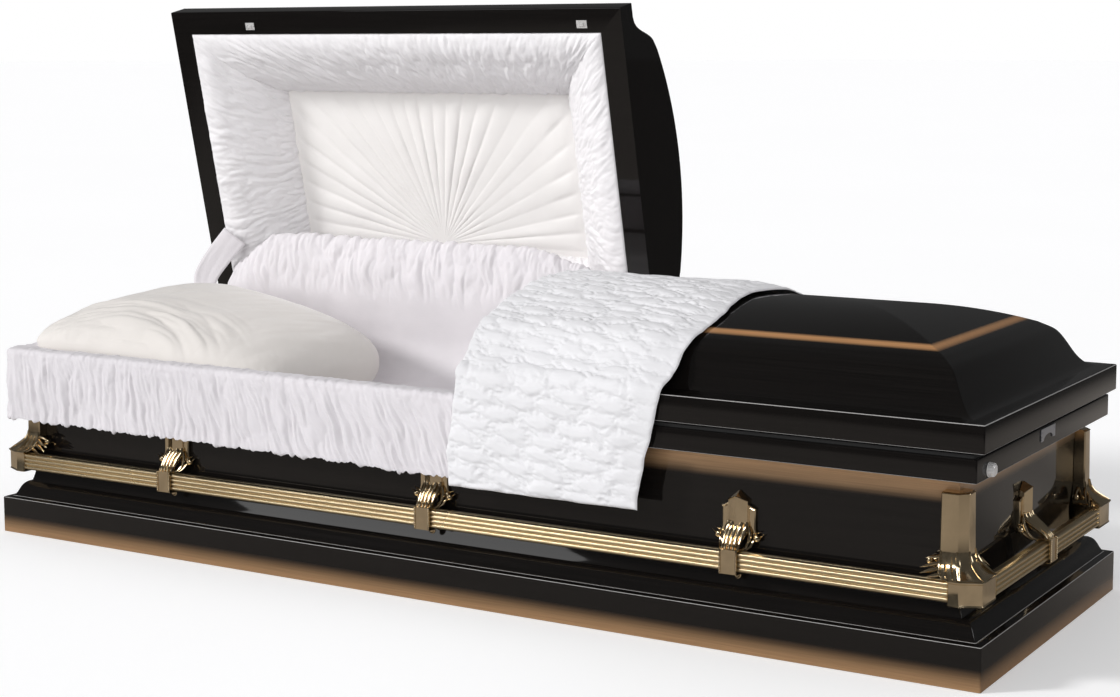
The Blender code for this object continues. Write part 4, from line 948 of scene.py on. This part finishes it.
# ---------------------------------------------------------------- gathered apron over the rim
def front_apron():
    """One strip of gathered cloth over the front rim, round the head corner and along the head end."""
    inset, start_x, end_y, step = 0.055, 0.1000, 0.2000, 0.0019
    a, b = FLANGE_A - inset, FLANGE_B - inset
    plan = [(start_x - (start_x + a) * k / 560, -b, 0.0, -1.0) for k in range(560)]
    plan += [(-a, -b, math.cos(-math.pi / 2 * (1 + k / 48)), math.sin(-math.pi / 2 * (1 + k / 48))) for k in range(48)]
    plan += [(-a, -b + (end_y + b) * k / 250, -1.0, 0.0) for k in range(251)]
    plan = np.array(plan)
    reach = (np.abs(plan[:, 2]) ** 7 + np.abs(plan[:, 3]) ** 7) ** (-1 / 7)
    outer = plan[:, :2] + plan[:, 2:] * (reach * (inset + 0.007))[:, None]
    length = np.concatenate([[0], np.cumsum(np.hypot(*np.diff(outer, axis=0).T))])
    section = [(-0.0480, 0.3768), (-0.0445, 0.3835), (-0.0350, 0.3868), (-0.0200, 0.3878), (-0.0060, 0.3878), (0.0020, 0.3862), (0.0060, 0.3800), (0.0070, 0.3650), (0.0072, 0.3000), (0.0076, 0.2500), (0.0074, 0.2420), (0.0056, 0.2376), (0.0028, 0.2384)]
    P, N, s = resample(section, 92)
    L, S = np.meshgrid(length, s, indexing="ij")
    X0 = np.broadcast_to(outer[:, 0][:, None], L.shape)
    Y0 = np.broadcast_to(outer[:, 1][:, None], L.shape)
    out, z = np.broadcast_to(P[:, 0], L.shape).copy(), np.broadcast_to(P[:, 1], L.shape).copy()
    depth = np.clip(0.388 - z, 0, 0.2)
    lean = 0.10 + 0.34 * smooth((X0 + 0.85) / 0.8) * (Y0 < -0.3)
    u = L + lean * depth + 0.010 * noise(L / 0.05, depth / 0.05, 71)
    skirt = smooth((0.386 - z) / 0.05)
    big = gathers(u, S, 0.0180, 0.17, 51, 0.7)
    small = gathers(u + 0.3 * depth, S, 0.0100, 0.040, 55)
    low = smooth((0.300 - z) / 0.055)
    swell = 0.0012 * noise(L / 0.16, S / 0.12, 77) * skirt
    pucker = gathers(u, S, 0.0130, 0.030, 57) - 0.50
    push = (0.0026 + 0.0082 * skirt) * (big - 0.50) + (0.0006 + 0.0018 * low) * (small - 0.50) + 0.0030 * (1 - 0.7 * skirt) * pucker + swell
    inner = smooth((out + 0.0480) / 0.010)
    push = push * inner
    hem = -0.0052 * smooth((X0 + 0.35) / 0.35) * (Y0 < -0.3) + 0.0022 * noise(L / 0.055, L * 0 + 0.5, 61) + 0.0016 * noise(L / 0.014, L * 0 + 0.5, 62)
    zz = z + push * N[:, 1][None, :] + hem * np.clip((0.300 - z) / 0.060, 0, 1)
    oo = out + push * N[:, 0][None, :]
    thin = np.clip((np.minimum(0.3878, GASKET_Z1 + 0.0050 + (end_y - Y0) * 0.0262) - 0.3740) / (0.3878 - 0.3740), 0.2, 1)
    thin = np.where(X0 < -1.0, thin, 1.0)
    zz = np.where(zz > 0.3740, 0.3740 + (zz - 0.3740) * thin, zz)
    G = np.empty(L.shape + (3,))
    G[..., 0] = plan[:, 0][:, None] + plan[:, 2][:, None] * reach[:, None] * (oo + inset)
    G[..., 1] = plan[:, 1][:, None] + plan[:, 3][:, None] * reach[:, None] * (oo + inset)
    G[..., 2] = zz
    obj = grid_object("apron_gathered", G, CREPE_PAINTED_SHADE, "casket", flip=True)
    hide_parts("apron_front", "apron_head_end")


front_apron()


# ---------------------------------------------------------------- pillow
def pillow():
    nu, nv = 170, 150
    tu, tv = np.meshgrid(np.linspace(-1, 1, nu), np.linspace(-1, 1, nv), indexing="ij")
    U = np.sign(tu) * (1 - (1 - np.abs(tu)) ** 1.35)
    V = np.sign(tv) * (1 - (1 - np.abs(tv)) ** 1.35)
    p, q = (U + 1) / 2, (V + 1) / 2
    FL, FR, BR, BL = (-1.0450, -0.3130, 0.3980), (-0.4280, -0.2850, 0.3340), (-0.4000, 0.1150, 0.3520), (-1.0220, 0.2150, 0.4150)
    X, Y, Z = (FL[k] * (1 - p) * (1 - q) + FR[k] * p * (1 - q) + BR[k] * p * q + BL[k] * (1 - p) * q for k in range(3))
    Y = Y + 0.024 * smooth(p / 0.35) * (1 - p) ** 0.5 * (1 - q) ** 2
    X = X + 0.012 * (1 - p) ** 3 * (1 - V * V)
    round_off = np.abs(U) ** 5 * np.abs(V) ** 5
    X = X - 0.024 * np.sign(U) * round_off
    Y = Y - 0.020 * np.sign(V) * round_off
    Y = Y + 0.030 * (1 - U * U) * q**3
    f = np.clip((1 - np.abs(U) ** 2.8) * (1 - np.abs(V) ** 2.8), 0, 1) ** 0.46
    top = Z + 0.097 * f * (1 - 0.10 * U) * (1 + 0.08 * V)
    low = np.maximum(BED_TOP + 0.0010, Z - 0.115 * f**0.8)
    # long folds that sweep round from the front-left corner
    cx, cy = -0.800, -0.430
    R, A = np.hypot((X - cx) * 0.85, Y - cy), np.arctan2(Y - cy, X - cx)
    where = smooth((R - 0.10) / 0.06) * smooth((0.38 - R) / 0.13) * smooth((A - 0.50) / 0.4) * smooth((2.9 - A) / 0.5) * (1 - 0.6 * smooth((X + 0.62) / 0.12))
    folds = gathers(R + 0.007 * noise(A * 3, R / 0.08, 83), A * 0.30, 0.027, 0.34, 81, 0.35) - 0.5
    corner_r = np.hypot(X + 1.02, Y + 0.30)
    tuck = gathers(np.arctan2(Y + 0.34, X + 1.06) * 0.20, corner_r, 0.012, 0.06, 85) - 0.5
    edge = (1 - f) ** 2
    seam_tuck = gathers(X + Y, X - Y, 0.013, 0.05, 87) - 0.5
    slack = 0.0040 * fbm(X / 0.16, Y / 0.14, 89, 2)
    rise = f**0.5 * (0.0120 * where * folds + slack) + 0.0090 * tuck * np.exp(-((corner_r / 0.10) ** 2)) * f**0.3 + 0.0040 * seam_tuck * edge * f**0.3
    rise = rise + 0.0030 * (gathers(X - 0.5 * Y, Y, 0.050, 0.20, 91) - 0.5) * f**0.5
    top = top + rise
    n = nu * nv
    rim = np.minimum(np.minimum(tu + 1, 1 - tu), np.minimum(tv + 1, 1 - tv)) < 1e-9
    top = np.where(rim, Z, top)
    low = np.where(rim, Z, low)
    faces = np.concatenate([grid_faces(nu, nv), grid_faces(nu, nv, start=n)[:, ::-1]])
    obj = make("pillow_finish", np.concatenate([np.stack([X, Y, top], -1).reshape(-1, 3), np.stack([X, Y, low], -1).reshape(-1, 3)]), faces, IVORY)
    bm = bmesh.new()
    bm.from_mesh(obj.data)
    bmesh.ops.remove_doubles(bm, verts=[v for k, v in enumerate(bm.verts) if rim.reshape(-1)[k % n]], dist=0.00002)
    bmesh.ops.recalc_face_normals(bm, faces=bm.faces)
    bm.to_mesh(obj.data)
    bm.free()
    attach(obj, "casket")
    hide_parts("pillow")
    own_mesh(obj)


pillow()

# ---------------------------------------------------------------- lining of the head lid
LINE_X0, LINE_X1, LINE_Y = -1.0135, 0.0550, 0.3015
PANEL_X0, PANEL_X1, PANEL_Y0, PANEL_Y1 = -0.8550, -0.1030, -0.1450, 0.2150
PANEL_Z = 0.4915
SUN_X, SUN_Y = -0.4790, 0.2020


def lid_border():
    """Puffed, finely gathered roll between the rim and the recessed panel."""
    section = [(0.004, 0.0150), (0.0, 0.0060), (0.012, 0.0004), (0.09, -0.0022), (0.24, 0.0020), (0.42, 0.0150), (0.60, 0.0350), (0.76, 0.0590), (0.89, 0.0840), (0.965, 0.1010), (1.0, 0.1120), (0.995, 0.1180)]
    width = 0.115
    P, N, s = resample([(h * width, z) for h, z in section], 68)
    nx, ny = 380, 200
    corners = []
    for k in range(nx):
        corners.append((k / nx, 0.0, 0))
    for k in range(ny):
        corners.append((1.0, k / ny, 1))
    for k in range(nx):
        corners.append((1.0 - k / nx, 1.0, 2))
    for k in range(ny):
        corners.append((0.0, 1.0 - k / ny, 3))
    C = np.array(corners)
    share = np.clip(P[:, 0] / width, 0, 1)
    x0, x1 = LINE_X0 + (PANEL_X0 - LINE_X0) * share, LINE_X1 + (PANEL_X1 - LINE_X1) * share
    y0, y1 = -LINE_Y + (PANEL_Y0 + LINE_Y) * share, LINE_Y + (PANEL_Y1 - LINE_Y) * share
    fx, fy, face = C[:, 0][:, None], C[:, 1][:, None], C[:, 2][:, None]
    X, Y = x0[None] + (x1 - x0)[None] * fx, y0[None] + (y1 - y0)[None] * fy
    along = np.where(face % 2 == 0, fx * 1.02, fy * 0.56) + face * 3.7
    S = np.broadcast_to(s[None], X.shape)
    lean = np.choose(C[:, 2].astype(int), [0.50, 0.30, 0.2, -0.12])[:, None]
    total = s[-1]
    t = S / total
    v = S
    bend = lean * (S + 0.030 * np.sin(math.pi * t))
    near = smooth(np.minimum(np.where(face % 2 == 0, fx, fy), 1 - np.where(face % 2 == 0, fx, fy)) / 0.06)
    u = along - bend * near + 0.008 * noise(along / 0.04, S / 0.04, 101)
    big = gathers(u, v, 0.0195, 0.050, 103)
    small = gathers(u, v, 0.0075, 0.022, 107)
    band = np.exp(-(((t - 0.36) / 0.10) ** 2)) * 0.9 + np.exp(-((t - 0.12) / 0.09) ** 2) * 0.8
    fade = smooth((s - 0.010) / 0.015)[None] * smooth((total - s) / 0.004)[None]
    pillowy = 0.0025 * np.sin(math.pi * np.clip((t - 0.08) / 0.30, 0, 1)) + 0.0030 * np.sin(math.pi * np.clip((t - 0.40) / 0.55, 0, 1))
    right = np.where(face == 1, 0.7, 1.0)
    push = (0.0066 * right * (big - 0.5) + (0.0012 + 0.0020 * band) * (small - 0.5) + pillowy) * fade
    nh, nz = -N[:, 0][None], -N[:, 1][None]
    inward_x = np.choose(C[:, 2].astype(int), [0.0, -1.0, 0.0, 1.0])[:, None]
    inward_y = np.choose(C[:, 2].astype(int), [1.0, 0.0, -1.0, 0.0])[:, None]
    G = np.empty(X.shape + (3,))
    G[..., 0] = X + inward_x * push * nh
    G[..., 1] = Y + inward_y * push * nh
    G[..., 2] = RIM_Z0 + P[:, 1][None] + push * nz
    obj = grid_object("lid_border_gathered", G, BORDER_CREPE_PAINTED_LIGHT, None, closed_u=True)
    obj.matrix_world = OPEN
    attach(obj, "head_lid")
    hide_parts("lid_border_puffs")


lid_border()


def sunburst():
    """Recessed satin panel in folds that spread from the middle of its hinge side."""
    x0, x1, y0, y1 = PANEL_X0 - 0.002, PANEL_X1 + 0.002, PANEL_Y0 - 0.002, PANEL_Y1 + 0.002
    nu, nv = 620, 64
    ang = 2 * math.pi * np.arange(nu) / nu
    for cx, cy in ((x0, y0), (x1, y0), (x1, y1), (x0, y1)):
        a = math.atan2(cy - SUN_Y, cx - SUN_X) % (2 * math.pi)
        ang[int(np.argmin(np.abs(ang - a)))] = a
    dx, dy = np.cos(ang), np.sin(ang)
    with np.errstate(divide="ignore", invalid="ignore"):
        tx = np.where(dx > 0, (x1 - SUN_X) / dx, (x0 - SUN_X) / dx)
        ty = np.where(dy > 0, (y1 - SUN_Y) / dy, (y0 - SUN_Y) / dy)
    reach = np.minimum(np.where(np.abs(dx) < 1e-9, 9, tx), np.where(np.abs(dy) < 1e-9, 9, ty))
    share = np.linspace(0.0, 1.0, nv) ** 0.9
    R = reach[:, None] * share[None]
    A = np.broadcast_to(ang[:, None], R.shape)
    X, Y = SUN_X + R * dx[:, None], SUN_Y + R * dy[:, None]
    spread = (2 * math.pi - A) % (2 * math.pi)
    turns = spread / (2 * math.pi) * 54 + 0.10 * noise(spread * 4.2, R * 2.0, 121) + 0.05 * noise(spread * 9, R * 14, 123)
    frac = turns - np.floor(turns)
    ridge = np.sin(math.pi * frac) ** 0.38
    each = 0.82 + 0.20 * np.sin(np.floor(turns) * 2.4)
    rise = np.minimum(0.0062, 0.030 * R) * smooth((R - 0.006) / 0.020) * each
    quiet = smooth((spread - 0.10) / 0.15) * smooth((1.15 - spread) / 0.30) * smooth((R - 0.09) / 0.06) * smooth(((x1 - 0.050) - X) / 0.05)
    rise = rise * (1 - 0.72 * quiet)
    edge = np.minimum(np.minimum(X - x0, x1 - X), np.minimum(Y - y0, y1 - Y))
    settle = smooth((edge - 0.001) / 0.030)
    slack = 0.0014 * noise(X / 0.06, Y / 0.06, 125)
    Z = PANEL_Z - (rise * ridge + slack) * settle
    lip = np.exp(-(((X - x0) - 0.0200) / 0.0014) ** 2) * 0.0016
    Z = Z + lip
    G = np.stack([X, Y, Z], -1)
    obj = grid_object("lid_sunburst_gathered", G, IVORY_PAINTED_LIGHT, None, closed_u=True)
    bm = bmesh.new()
    bm.from_mesh(obj.data)
    bmesh.ops.remove_doubles(bm, verts=bm.verts, dist=0.00001)
    bmesh.ops.recalc_face_normals(bm, faces=bm.faces)
    bm.to_mesh(obj.data)
    bm.free()
    obj.matrix_world = OPEN
    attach(obj, "head_lid")
    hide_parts("lid_sunburst_panel")


# The lid panel's ivory satin is made lighter than the pillow's as painted light inside the shaded open lid. Its less
# yellow tint is the satin's own.
IVORY_PAINTED_LIGHT = cloth("panel_satin_painted_light", (0.865, 0.84, 0.82), rough=0.55, sheen=0.3, crinkle=90.0, strength=0.06, satin=0.1, shade=0.98)
sunburst()


def back_apron():
    """Puffed cloth that stands against the open lid and runs down behind the bed."""
    x0, x1, nx = -0.9780, 0.0350, 470
    u = np.linspace(x0, x1, nx)
    mid = 2 * (u - (x0 + x1) / 2) / (x1 - x0)
    top = 0.5850 - 0.080 * smooth((-0.830 - u) / 0.15) - 0.045 * smooth((u + 0.17) / 0.20) + 0.0035 * noise(u / 0.11, u * 0 + 0.3, 131)
    G = np.empty((nx, 96, 3))
    for i, x in enumerate(u):
        h = top[i]
        k = h - 0.5850
        path = [(0.1600, 0.2840), (0.2050, 0.2900), (0.2450, 0.3120), (0.2580, 0.3600), (0.2500, 0.4150 + 0.2 * k), (0.2430, 0.4600 + 0.4 * k), (0.2450, 0.5050 + 0.6 * k), (0.2550, 0.5450 + 0.85 * k), (0.2660, h - 0.0140), (0.2760, h - 0.0025), (0.2860, h), (0.2930, h - 0.0080), (0.2960, h - 0.0260)]
        P, N, s = resample(path, 96, 6)
        G[i, :, 0], G[i, :, 1], G[i, :, 2] = x, P[:, 0], P[:, 1]
        if i == 0:
            NN = np.empty((nx, 96, 2))
            SS = np.empty((nx, 96))
        NN[i], SS[i] = N, s
    X, Z = G[..., 0], G[..., 2]
    upper = smooth((Z - 0.435) / 0.075)
    fold = gathers(X + 0.010 * noise(X / 0.09, Z / 0.08, 133) + 0.12 * (Z - 0.5), Z, 0.026, 0.10, 135)
    fine = gathers(X, Z, 0.0095, 0.030, 139)
    broad = noise(X / 0.14, Z / 0.30, 141)
    near_top = smooth((Z - (top[:, None] - 0.055)) / 0.03)
    push = 0.0110 * upper * (fold - 0.45) + 0.0022 * near_top * (fine - 0.45) + 0.0050 * broad * (1 - 0.5 * upper) * smooth((Z - 0.292) / 0.04) + 0.0012 * (fine - 0.45) * upper
    ends = smooth((1 - np.abs(mid)) / 0.03)[:, None]
    G[..., 1] += push * NN[..., 0]
    G[..., 2] += push * NN[..., 1]
    G[..., 1] += 0.026 * (1 - ends) * smooth((Z - 0.36) / 0.06)
    obj = grid_object("apron_back_gathered", G, BACK_CREPE_PAINTED_SHADE, None, flip=True)
    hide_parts("apron_back")
    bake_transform(obj)


back_apron()


def stay():
    """Cloth strap between the head lid and the head end of the body."""
    centre = [(-1.0060, 0.2330, 0.4050), (-1.0230, 0.2380, 0.4400), (-1.0280, 0.2460, 0.4750), (-1.0080, 0.2660, 0.5200), (-0.9760, 0.2920, 0.5700)]
    C = np.array(through(centre, 10))
    n = len(C)
    G = np.empty((n, 9, 3))
    for i in range(n):
        t = i / (n - 1)
        w = Vector((0.86, 0.30, -0.05 - 0.62 * t)).normalized() * (0.0240 + 0.0080 * t)
        for j in range(9):
            q = -1 + j / 4
            dip = 0.0025 * (1 - q * q) * math.sin(7 * t + 1.0) + 0.0010 * math.sin(9 * q + 6 * t)
            G[i, j] = C[i] + np.array(w) * q + np.array((0.3, -0.9, 0.2)) * dip
    obj = grid_object("lid_stay_cloth", G, BACK_CREPE_PAINTED_SHADE, None, thick=0.0012)
    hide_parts("lid_stay")
    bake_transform(obj)


stay()


# ---------------------------------------------------------------- lining of the foot lid
def foot_lining():
    """Plain gathered lining under the foot lid, with a flat panel in its middle."""
    section = [(0.0506, 0.0250), (0.0506, 0.0030), (0.0560, 0.0010), (0.0800, 0.0260), (0.1010, 0.0560), (0.1200, 0.0830), (0.1450, 0.1060), (0.1620, 0.1160), (0.2200, 0.1190)]
    P, N, s = resample(section, 34)
    x0, x1, b = SPLIT + SPLIT_GAP, RIM_A, RIM_B
    nx, ny = 150, 76
    C = [(k / nx, 0.0, 0) for k in range(nx)] + [(1.0, k / ny, 1) for k in range(ny)] + [(1.0 - k / nx, 1.0, 2) for k in range(nx)] + [(0.0, 1.0 - k / ny, 3) for k in range(ny)]
    C = np.array(C)
    fx, fy, face = C[:, 0][:, None], C[:, 1][:, None], C[:, 2][:, None]
    d = P[:, 0][None]
    X, Y = (x0 + d) + (x1 - x0 - 2 * d) * fx, (-b + d) + (2 * b - 2 * d) * fy
    along = np.where(face % 2 == 0, fx * 0.85, fy * 0.60) + face * 2.3
    S = np.broadcast_to(s[None], X.shape)
    show = smooth((s - 0.020) / 0.02)[None] * smooth((s[-1] - s) / 0.03)[None]
    push = 0.0040 * (gathers(along, S, 0.026, 0.09, 151) - 0.5) * show
    inward_x = np.choose(C[:, 2].astype(int), [0.0, -1.0, 0.0, 1.0])[:, None]
    inward_y = np.choose(C[:, 2].astype(int), [1.0, 0.0, -1.0, 0.0])[:, None]
    G = np.empty(X.shape + (3,))
    G[..., 0] = X - inward_x * push * N[:, 0][None]
    G[..., 1] = Y - inward_y * push * N[:, 0][None]
    G[..., 2] = RIM_Z0 + P[:, 1][None] - push * N[:, 1][None]
    rows = [G]
    n, m = G.shape[:2]
    verts = G.reshape(-1, 3)
    faces = [tuple(f) for f in grid_faces(n, m, closed_u=True)]
    faces.append(tuple(int(i * m + m - 1) for i in range(n)))
    obj = make("foot_lid_lining_gathered", verts, faces, CREPE_PAINTED_SHADE)
    outward(obj)
    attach(obj, "foot_lid")
    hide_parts("foot_lid_lining")


foot_lining()

# ---------------------------------------------------------------- quilted throw
THROW_PATH = (
    (-0.3580, 0.2210),
    (-0.3585, 0.2700),
    (-0.3585, 0.3000),
    (-0.3575, 0.3700),
    (-0.3565, 0.4150),
    (-0.3515, 0.4320),
    (-0.3330, 0.4450),
    (-0.3110, 0.4640),
    (-0.2880, 0.4880),
    (-0.2610, 0.5075),
    (-0.2250, 0.5190),
    (-0.1600, 0.5400),
    (-0.0800, 0.5565),
    (0.0, 0.5610),
    (0.0900, 0.5560),
    (0.1700, 0.5380),
    (0.2350, 0.5170),
    (0.2650, 0.5040),
    (0.2900, 0.4760),
    (0.3050, 0.4560),
)


def throw():
    """Quilt folded back over the foot lid: smooth lozenges between crinkled seams."""
    nu, nv = 168, 460
    P, N, s = resample(THROW_PATH, nv)
    s_edge = (0.0, 0.06, 0.19, 0.26, 0.33, 0.42, 0.53, 0.60, 0.68, 0.80, 0.95)
    x_edge = (0.451, 0.460, 0.492, 0.504, 0.507, 0.519, 0.506, 0.502, 0.519, 0.508, 0.490)
    right = np.interp(s, s_edge, x_edge)
    kernel = np.ones(31) / 31
    right = np.convolve(np.pad(right, 15, mode="edge"), kernel, "valid")
    right = right + 0.0040 * noise(s / 0.035, s * 0 + 0.2, 161) + 0.0010 * noise(s / 0.020, s * 0 + 0.7, 162)
    left = np.interp(s, (0, 0.06, 0.12, 0.19, 0.26, 0.33), (0.068, 0.0620, 0.0730, 0.0810, 0.0790, 0.0745)) + 0.0030 * noise(s / 0.040, s * 0 + 0.4, 163) + 0.0012 * noise(s / 0.018, s * 0 + 0.1, 164)
    q = np.linspace(-1, 1, nu)
    q = np.sign(q) * (1 - (1 - np.abs(q)) ** 1.12)
    f = (q + 1) / 2
    X = left[None] + (right - left)[None] * f[:, None]
    S = np.broadcast_to(s[None], X.shape)
    a = X + 0.016 * noise(X / 0.085, S / 0.060, 171) + 0.05 * (S - 0.3)
    b = S + 0.009 * noise(X / 0.060, S / 0.045, 173) + 0.10 * X
    row = b / 0.0290
    k = np.floor(row)
    fb = row - k - 0.5
    col = a / 0.0820 + 0.5 * (k % 2) + 0.16 * np.sin(k * 3.7)
    fa = col - np.floor(col) - 0.5
    d = np.sqrt((fa / 0.37) ** 2 + (fb / 0.36) ** 2)
    patch = smooth(1.50 - d)
    crinkle = gathers(S + 0.20 * X + 0.004 * noise(X / 0.02, S / 0.02, 175), X, 0.0078, 0.026, 177) - 0.45
    fine = gathers(S - 0.45 * X, X, 0.0050, 0.014, 181) - 0.45
    sweep = gathers(S + 0.28 * X, X, 0.030, 0.17, 185) - 0.5
    top_side = smooth((S - 0.16) / 0.20)
    h = 0.0034 * patch * (1 - 0.35 * top_side) + (1 - 0.94 * patch) * (0.0056 * crinkle + 0.0026 * fine) + (0.0026 + 0.0026 * top_side) * sweep * (1 - 0.5 * patch)
    h = h + 0.0025 * noise(X / 0.15, S / 0.16, 187)
    e_side = np.minimum(X - left[None], right[None] - X)
    e = np.minimum(e_side, np.minimum(S, s[-1] - S))
    roll = np.sqrt(np.clip(1 - (1 - np.clip(e / 0.0085, 0, 1)) ** 2, 0, 1))
    ruffle = gathers(S, e_side, 0.0095, 0.05, 191) - 0.45
    lift = 0.0100 + 0.0020 * noise(S / 0.12, X / 0.3, 193)
    thin = 0.34 + 0.66 * smooth((right[None] - X) / 0.070)
    height = 0.0008 + (lift + h + 0.0022 * ruffle * np.exp(-e_side / 0.014)) * roll * thin
    hem = (0.0030 * noise(X / 0.07, X * 0 + 0.9, 195) + 0.0008 * noise(X / 0.022, X * 0 + 0.6, 197)) * smooth((0.05 - S) / 0.05)
    G = np.empty(X.shape + (3,))
    G[..., 0] = X
    G[..., 1] = P[:, 0][None] + N[:, 0][None] * height
    G[..., 2] = P[:, 1][None] + N[:, 1][None] * height + hem
    obj = grid_object("throw_quilted_cloth", G, QUILT, "foot_lid", flip=True)
    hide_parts("throw")
    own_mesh(obj)


throw()


# ---------------------------------------------------------------- camera, floor and light
camera_data = bpy.data.cameras.new("camera")
camera = bpy.data.objects.new("camera", camera_data)
SCENE.collection.objects.link(camera)
SCENE.camera = camera
YAW, PITCH, ROLL = -0.5381, -0.1139, -0.0022
forward = Vector((math.sin(YAW) * math.cos(PITCH), math.cos(YAW) * math.cos(PITCH), math.sin(PITCH)))
side = forward.cross(Vector((0, 0, 1))).normalized()
upward = side.cross(forward).normalized()
side_r = side * math.cos(ROLL) + upward * math.sin(ROLL)
up_r = upward * math.cos(ROLL) - side * math.sin(ROLL)
pose = Matrix((side_r, up_r, -forward)).transposed().to_4x4()
pose.translation = Vector((2.1309, -3.3567, 1.0182))
camera.matrix_world = pose
camera_data.sensor_fit = "HORIZONTAL"
camera_data.sensor_width = 36.0
camera_data.lens = 2054.82 / 1120 * 36.0
camera_data.shift_x = -(580.90 - 560.0) / 1120
camera_data.shift_y = (274.83 - 348.5) / 1120
camera_data.clip_start, camera_data.clip_end = 0.05, 100

floor_nodes = Nodes("floor_pale")
floor_nodes.set(Base_Color=floor_nodes.mix(floor_nodes.range(floor_nodes.noise(0.6), 0.3, 0.7), (0.90, 0.90, 0.90), (0.91, 0.91, 0.91)), Roughness=0.9)
floor_nodes.bsdf.inputs["Specular IOR Level"].default_value = 0.0
floor_nodes.bsdf.inputs["Emission Color"].default_value = (1.0, 1.0, 1.0, 1.0)
floor_nodes.bsdf.inputs["Emission Strength"].default_value = 0.22
spread = floor_nodes.new("ShaderNodeVectorMath", operation="LENGTH")
floor_nodes.link(floor_nodes.coord.outputs["Object"], spread.inputs[0])
ray = floor_nodes.new("ShaderNodeLightPath")
last = floor_nodes.bsdf.outputs[0]
for ray_kind, near, far in (("Is Glossy Ray", (0.34, 0.31, 0.28), (0.05, 0.048, 0.046)), ("Is Diffuse Ray", (0.72, 0.72, 0.72), (0.72, 0.72, 0.72))):
    shade = floor_nodes.new("ShaderNodeBsdfDiffuse")
    floor_nodes.link(floor_nodes.mix(floor_nodes.range(spread.outputs["Value"], 2.2, 3.8), near, far), shade.inputs["Color"])
    both = floor_nodes.new("ShaderNodeMixShader")
    floor_nodes.link(ray.outputs[ray_kind], both.inputs[0])
    floor_nodes.link(last, both.inputs[1])
    floor_nodes.link(shade.outputs[0], both.inputs[2])
    last = both.outputs[0]
floor_nodes.link(last, floor_nodes.tree.nodes["Material Output"].inputs["Surface"])
floor = make("floor", [(-90, -90, -0.0006), (90, -90, -0.0006), (90, 90, -0.0006), (-90, 90, -0.0006)], [(0, 1, 2, 3)], floor_nodes.mat)

world = bpy.data.worlds.new("studio")
SCENE.world = world
world.use_nodes = True
tree = world.node_tree
background = tree.nodes["Background"]
path = tree.nodes.new("ShaderNodeLightPath")
background.inputs["Color"].default_value = (1.0, 1.0, 1.02, 1.0)
background.inputs["Strength"].default_value = 0.47
last = background.outputs[0]
for ray_kind, strength in (("Is Glossy Ray", 0.065), ("Is Camera Ray", 1.0)):
    seen = tree.nodes.new("ShaderNodeBackground")
    seen.inputs["Color"].default_value = (1.0, 1.0, 1.0, 1.0)
    seen.inputs["Strength"].default_value = strength
    mix = tree.nodes.new("ShaderNodeMixShader")
    tree.links.new(path.outputs[ray_kind], mix.inputs[0])
    tree.links.new(last, mix.inputs[1])
    tree.links.new(seen.outputs[0], mix.inputs[2])
    last = mix.outputs[0]
tree.links.new(last, tree.nodes["World Output"].inputs["Surface"])

for sun_name, toward, energy, spread_angle in (("daylight", (-0.95, -0.80, 0.62), 1.95, 10), ("fill_light", (0.30, -1.0, 0.28), 1.15, 50)):
    sun_data = bpy.data.lights.new(sun_name, "SUN")
    sun_data.energy, sun_data.angle = energy, math.radians(spread_angle)
    sun = bpy.data.objects.new(sun_name, sun_data)
    SCENE.collection.objects.link(sun)
    sun.rotation_euler = (-Vector(toward)).to_track_quat("-Z", "Y").to_euler()
    sun.visible_glossy = False


def softbox(name, place, target, size, watts, colour=(1, 1, 1)):
    data = bpy.data.lights.new(name, "AREA")
    data.shape = "RECTANGLE"
    data.size, data.size_y = size
    data.energy = watts
    data.color = colour
    obj = bpy.data.objects.new(name, data)
    SCENE.collection.objects.link(obj)
    obj.location = place
    obj.rotation_euler = (Vector(target) - Vector(place)).to_track_quat("-Z", "Y").to_euler()
    return obj


for box_name, place, target, size, watts in (
    ("front_box", (-2.3, -3.4, 1.15), (0.0, -0.3, 0.3), (1.8, 1.2), 15),
    ("right_box", (3.6, 1.2, 1.4), (0.9, 0.0, 0.3), (1.4, 1.2), 16),
):
    softbox(box_name, place, target, size, watts).visible_diffuse = False

# small bright boxes that only the gold pieces reflect
gilt = bpy.data.collections.new("gold_pieces")
for piece in SCENE.objects:
    if piece.name.startswith(("lug_", "corner_", "bar_")) and piece.name.endswith("_finish"):
        gilt.objects.link(piece)
for box_name, place, target, size, watts in (
    ("gold_high", (-0.4, -2.2, 3.0), (0.2, -0.35, 0.2), (4.0, 0.5), 64),
    ("gold_low", (-2.3, -3.4, 1.15), (0.0, -0.3, 0.3), (1.8, 1.2), 26),
):
    lamp = softbox(box_name, place, target, size, watts)
    lamp.visible_diffuse = False
    lamp.light_linking.receiver_collection = gilt

SCENE.view_settings.view_transform = "Standard"
SCENE.view_settings.look = "None"
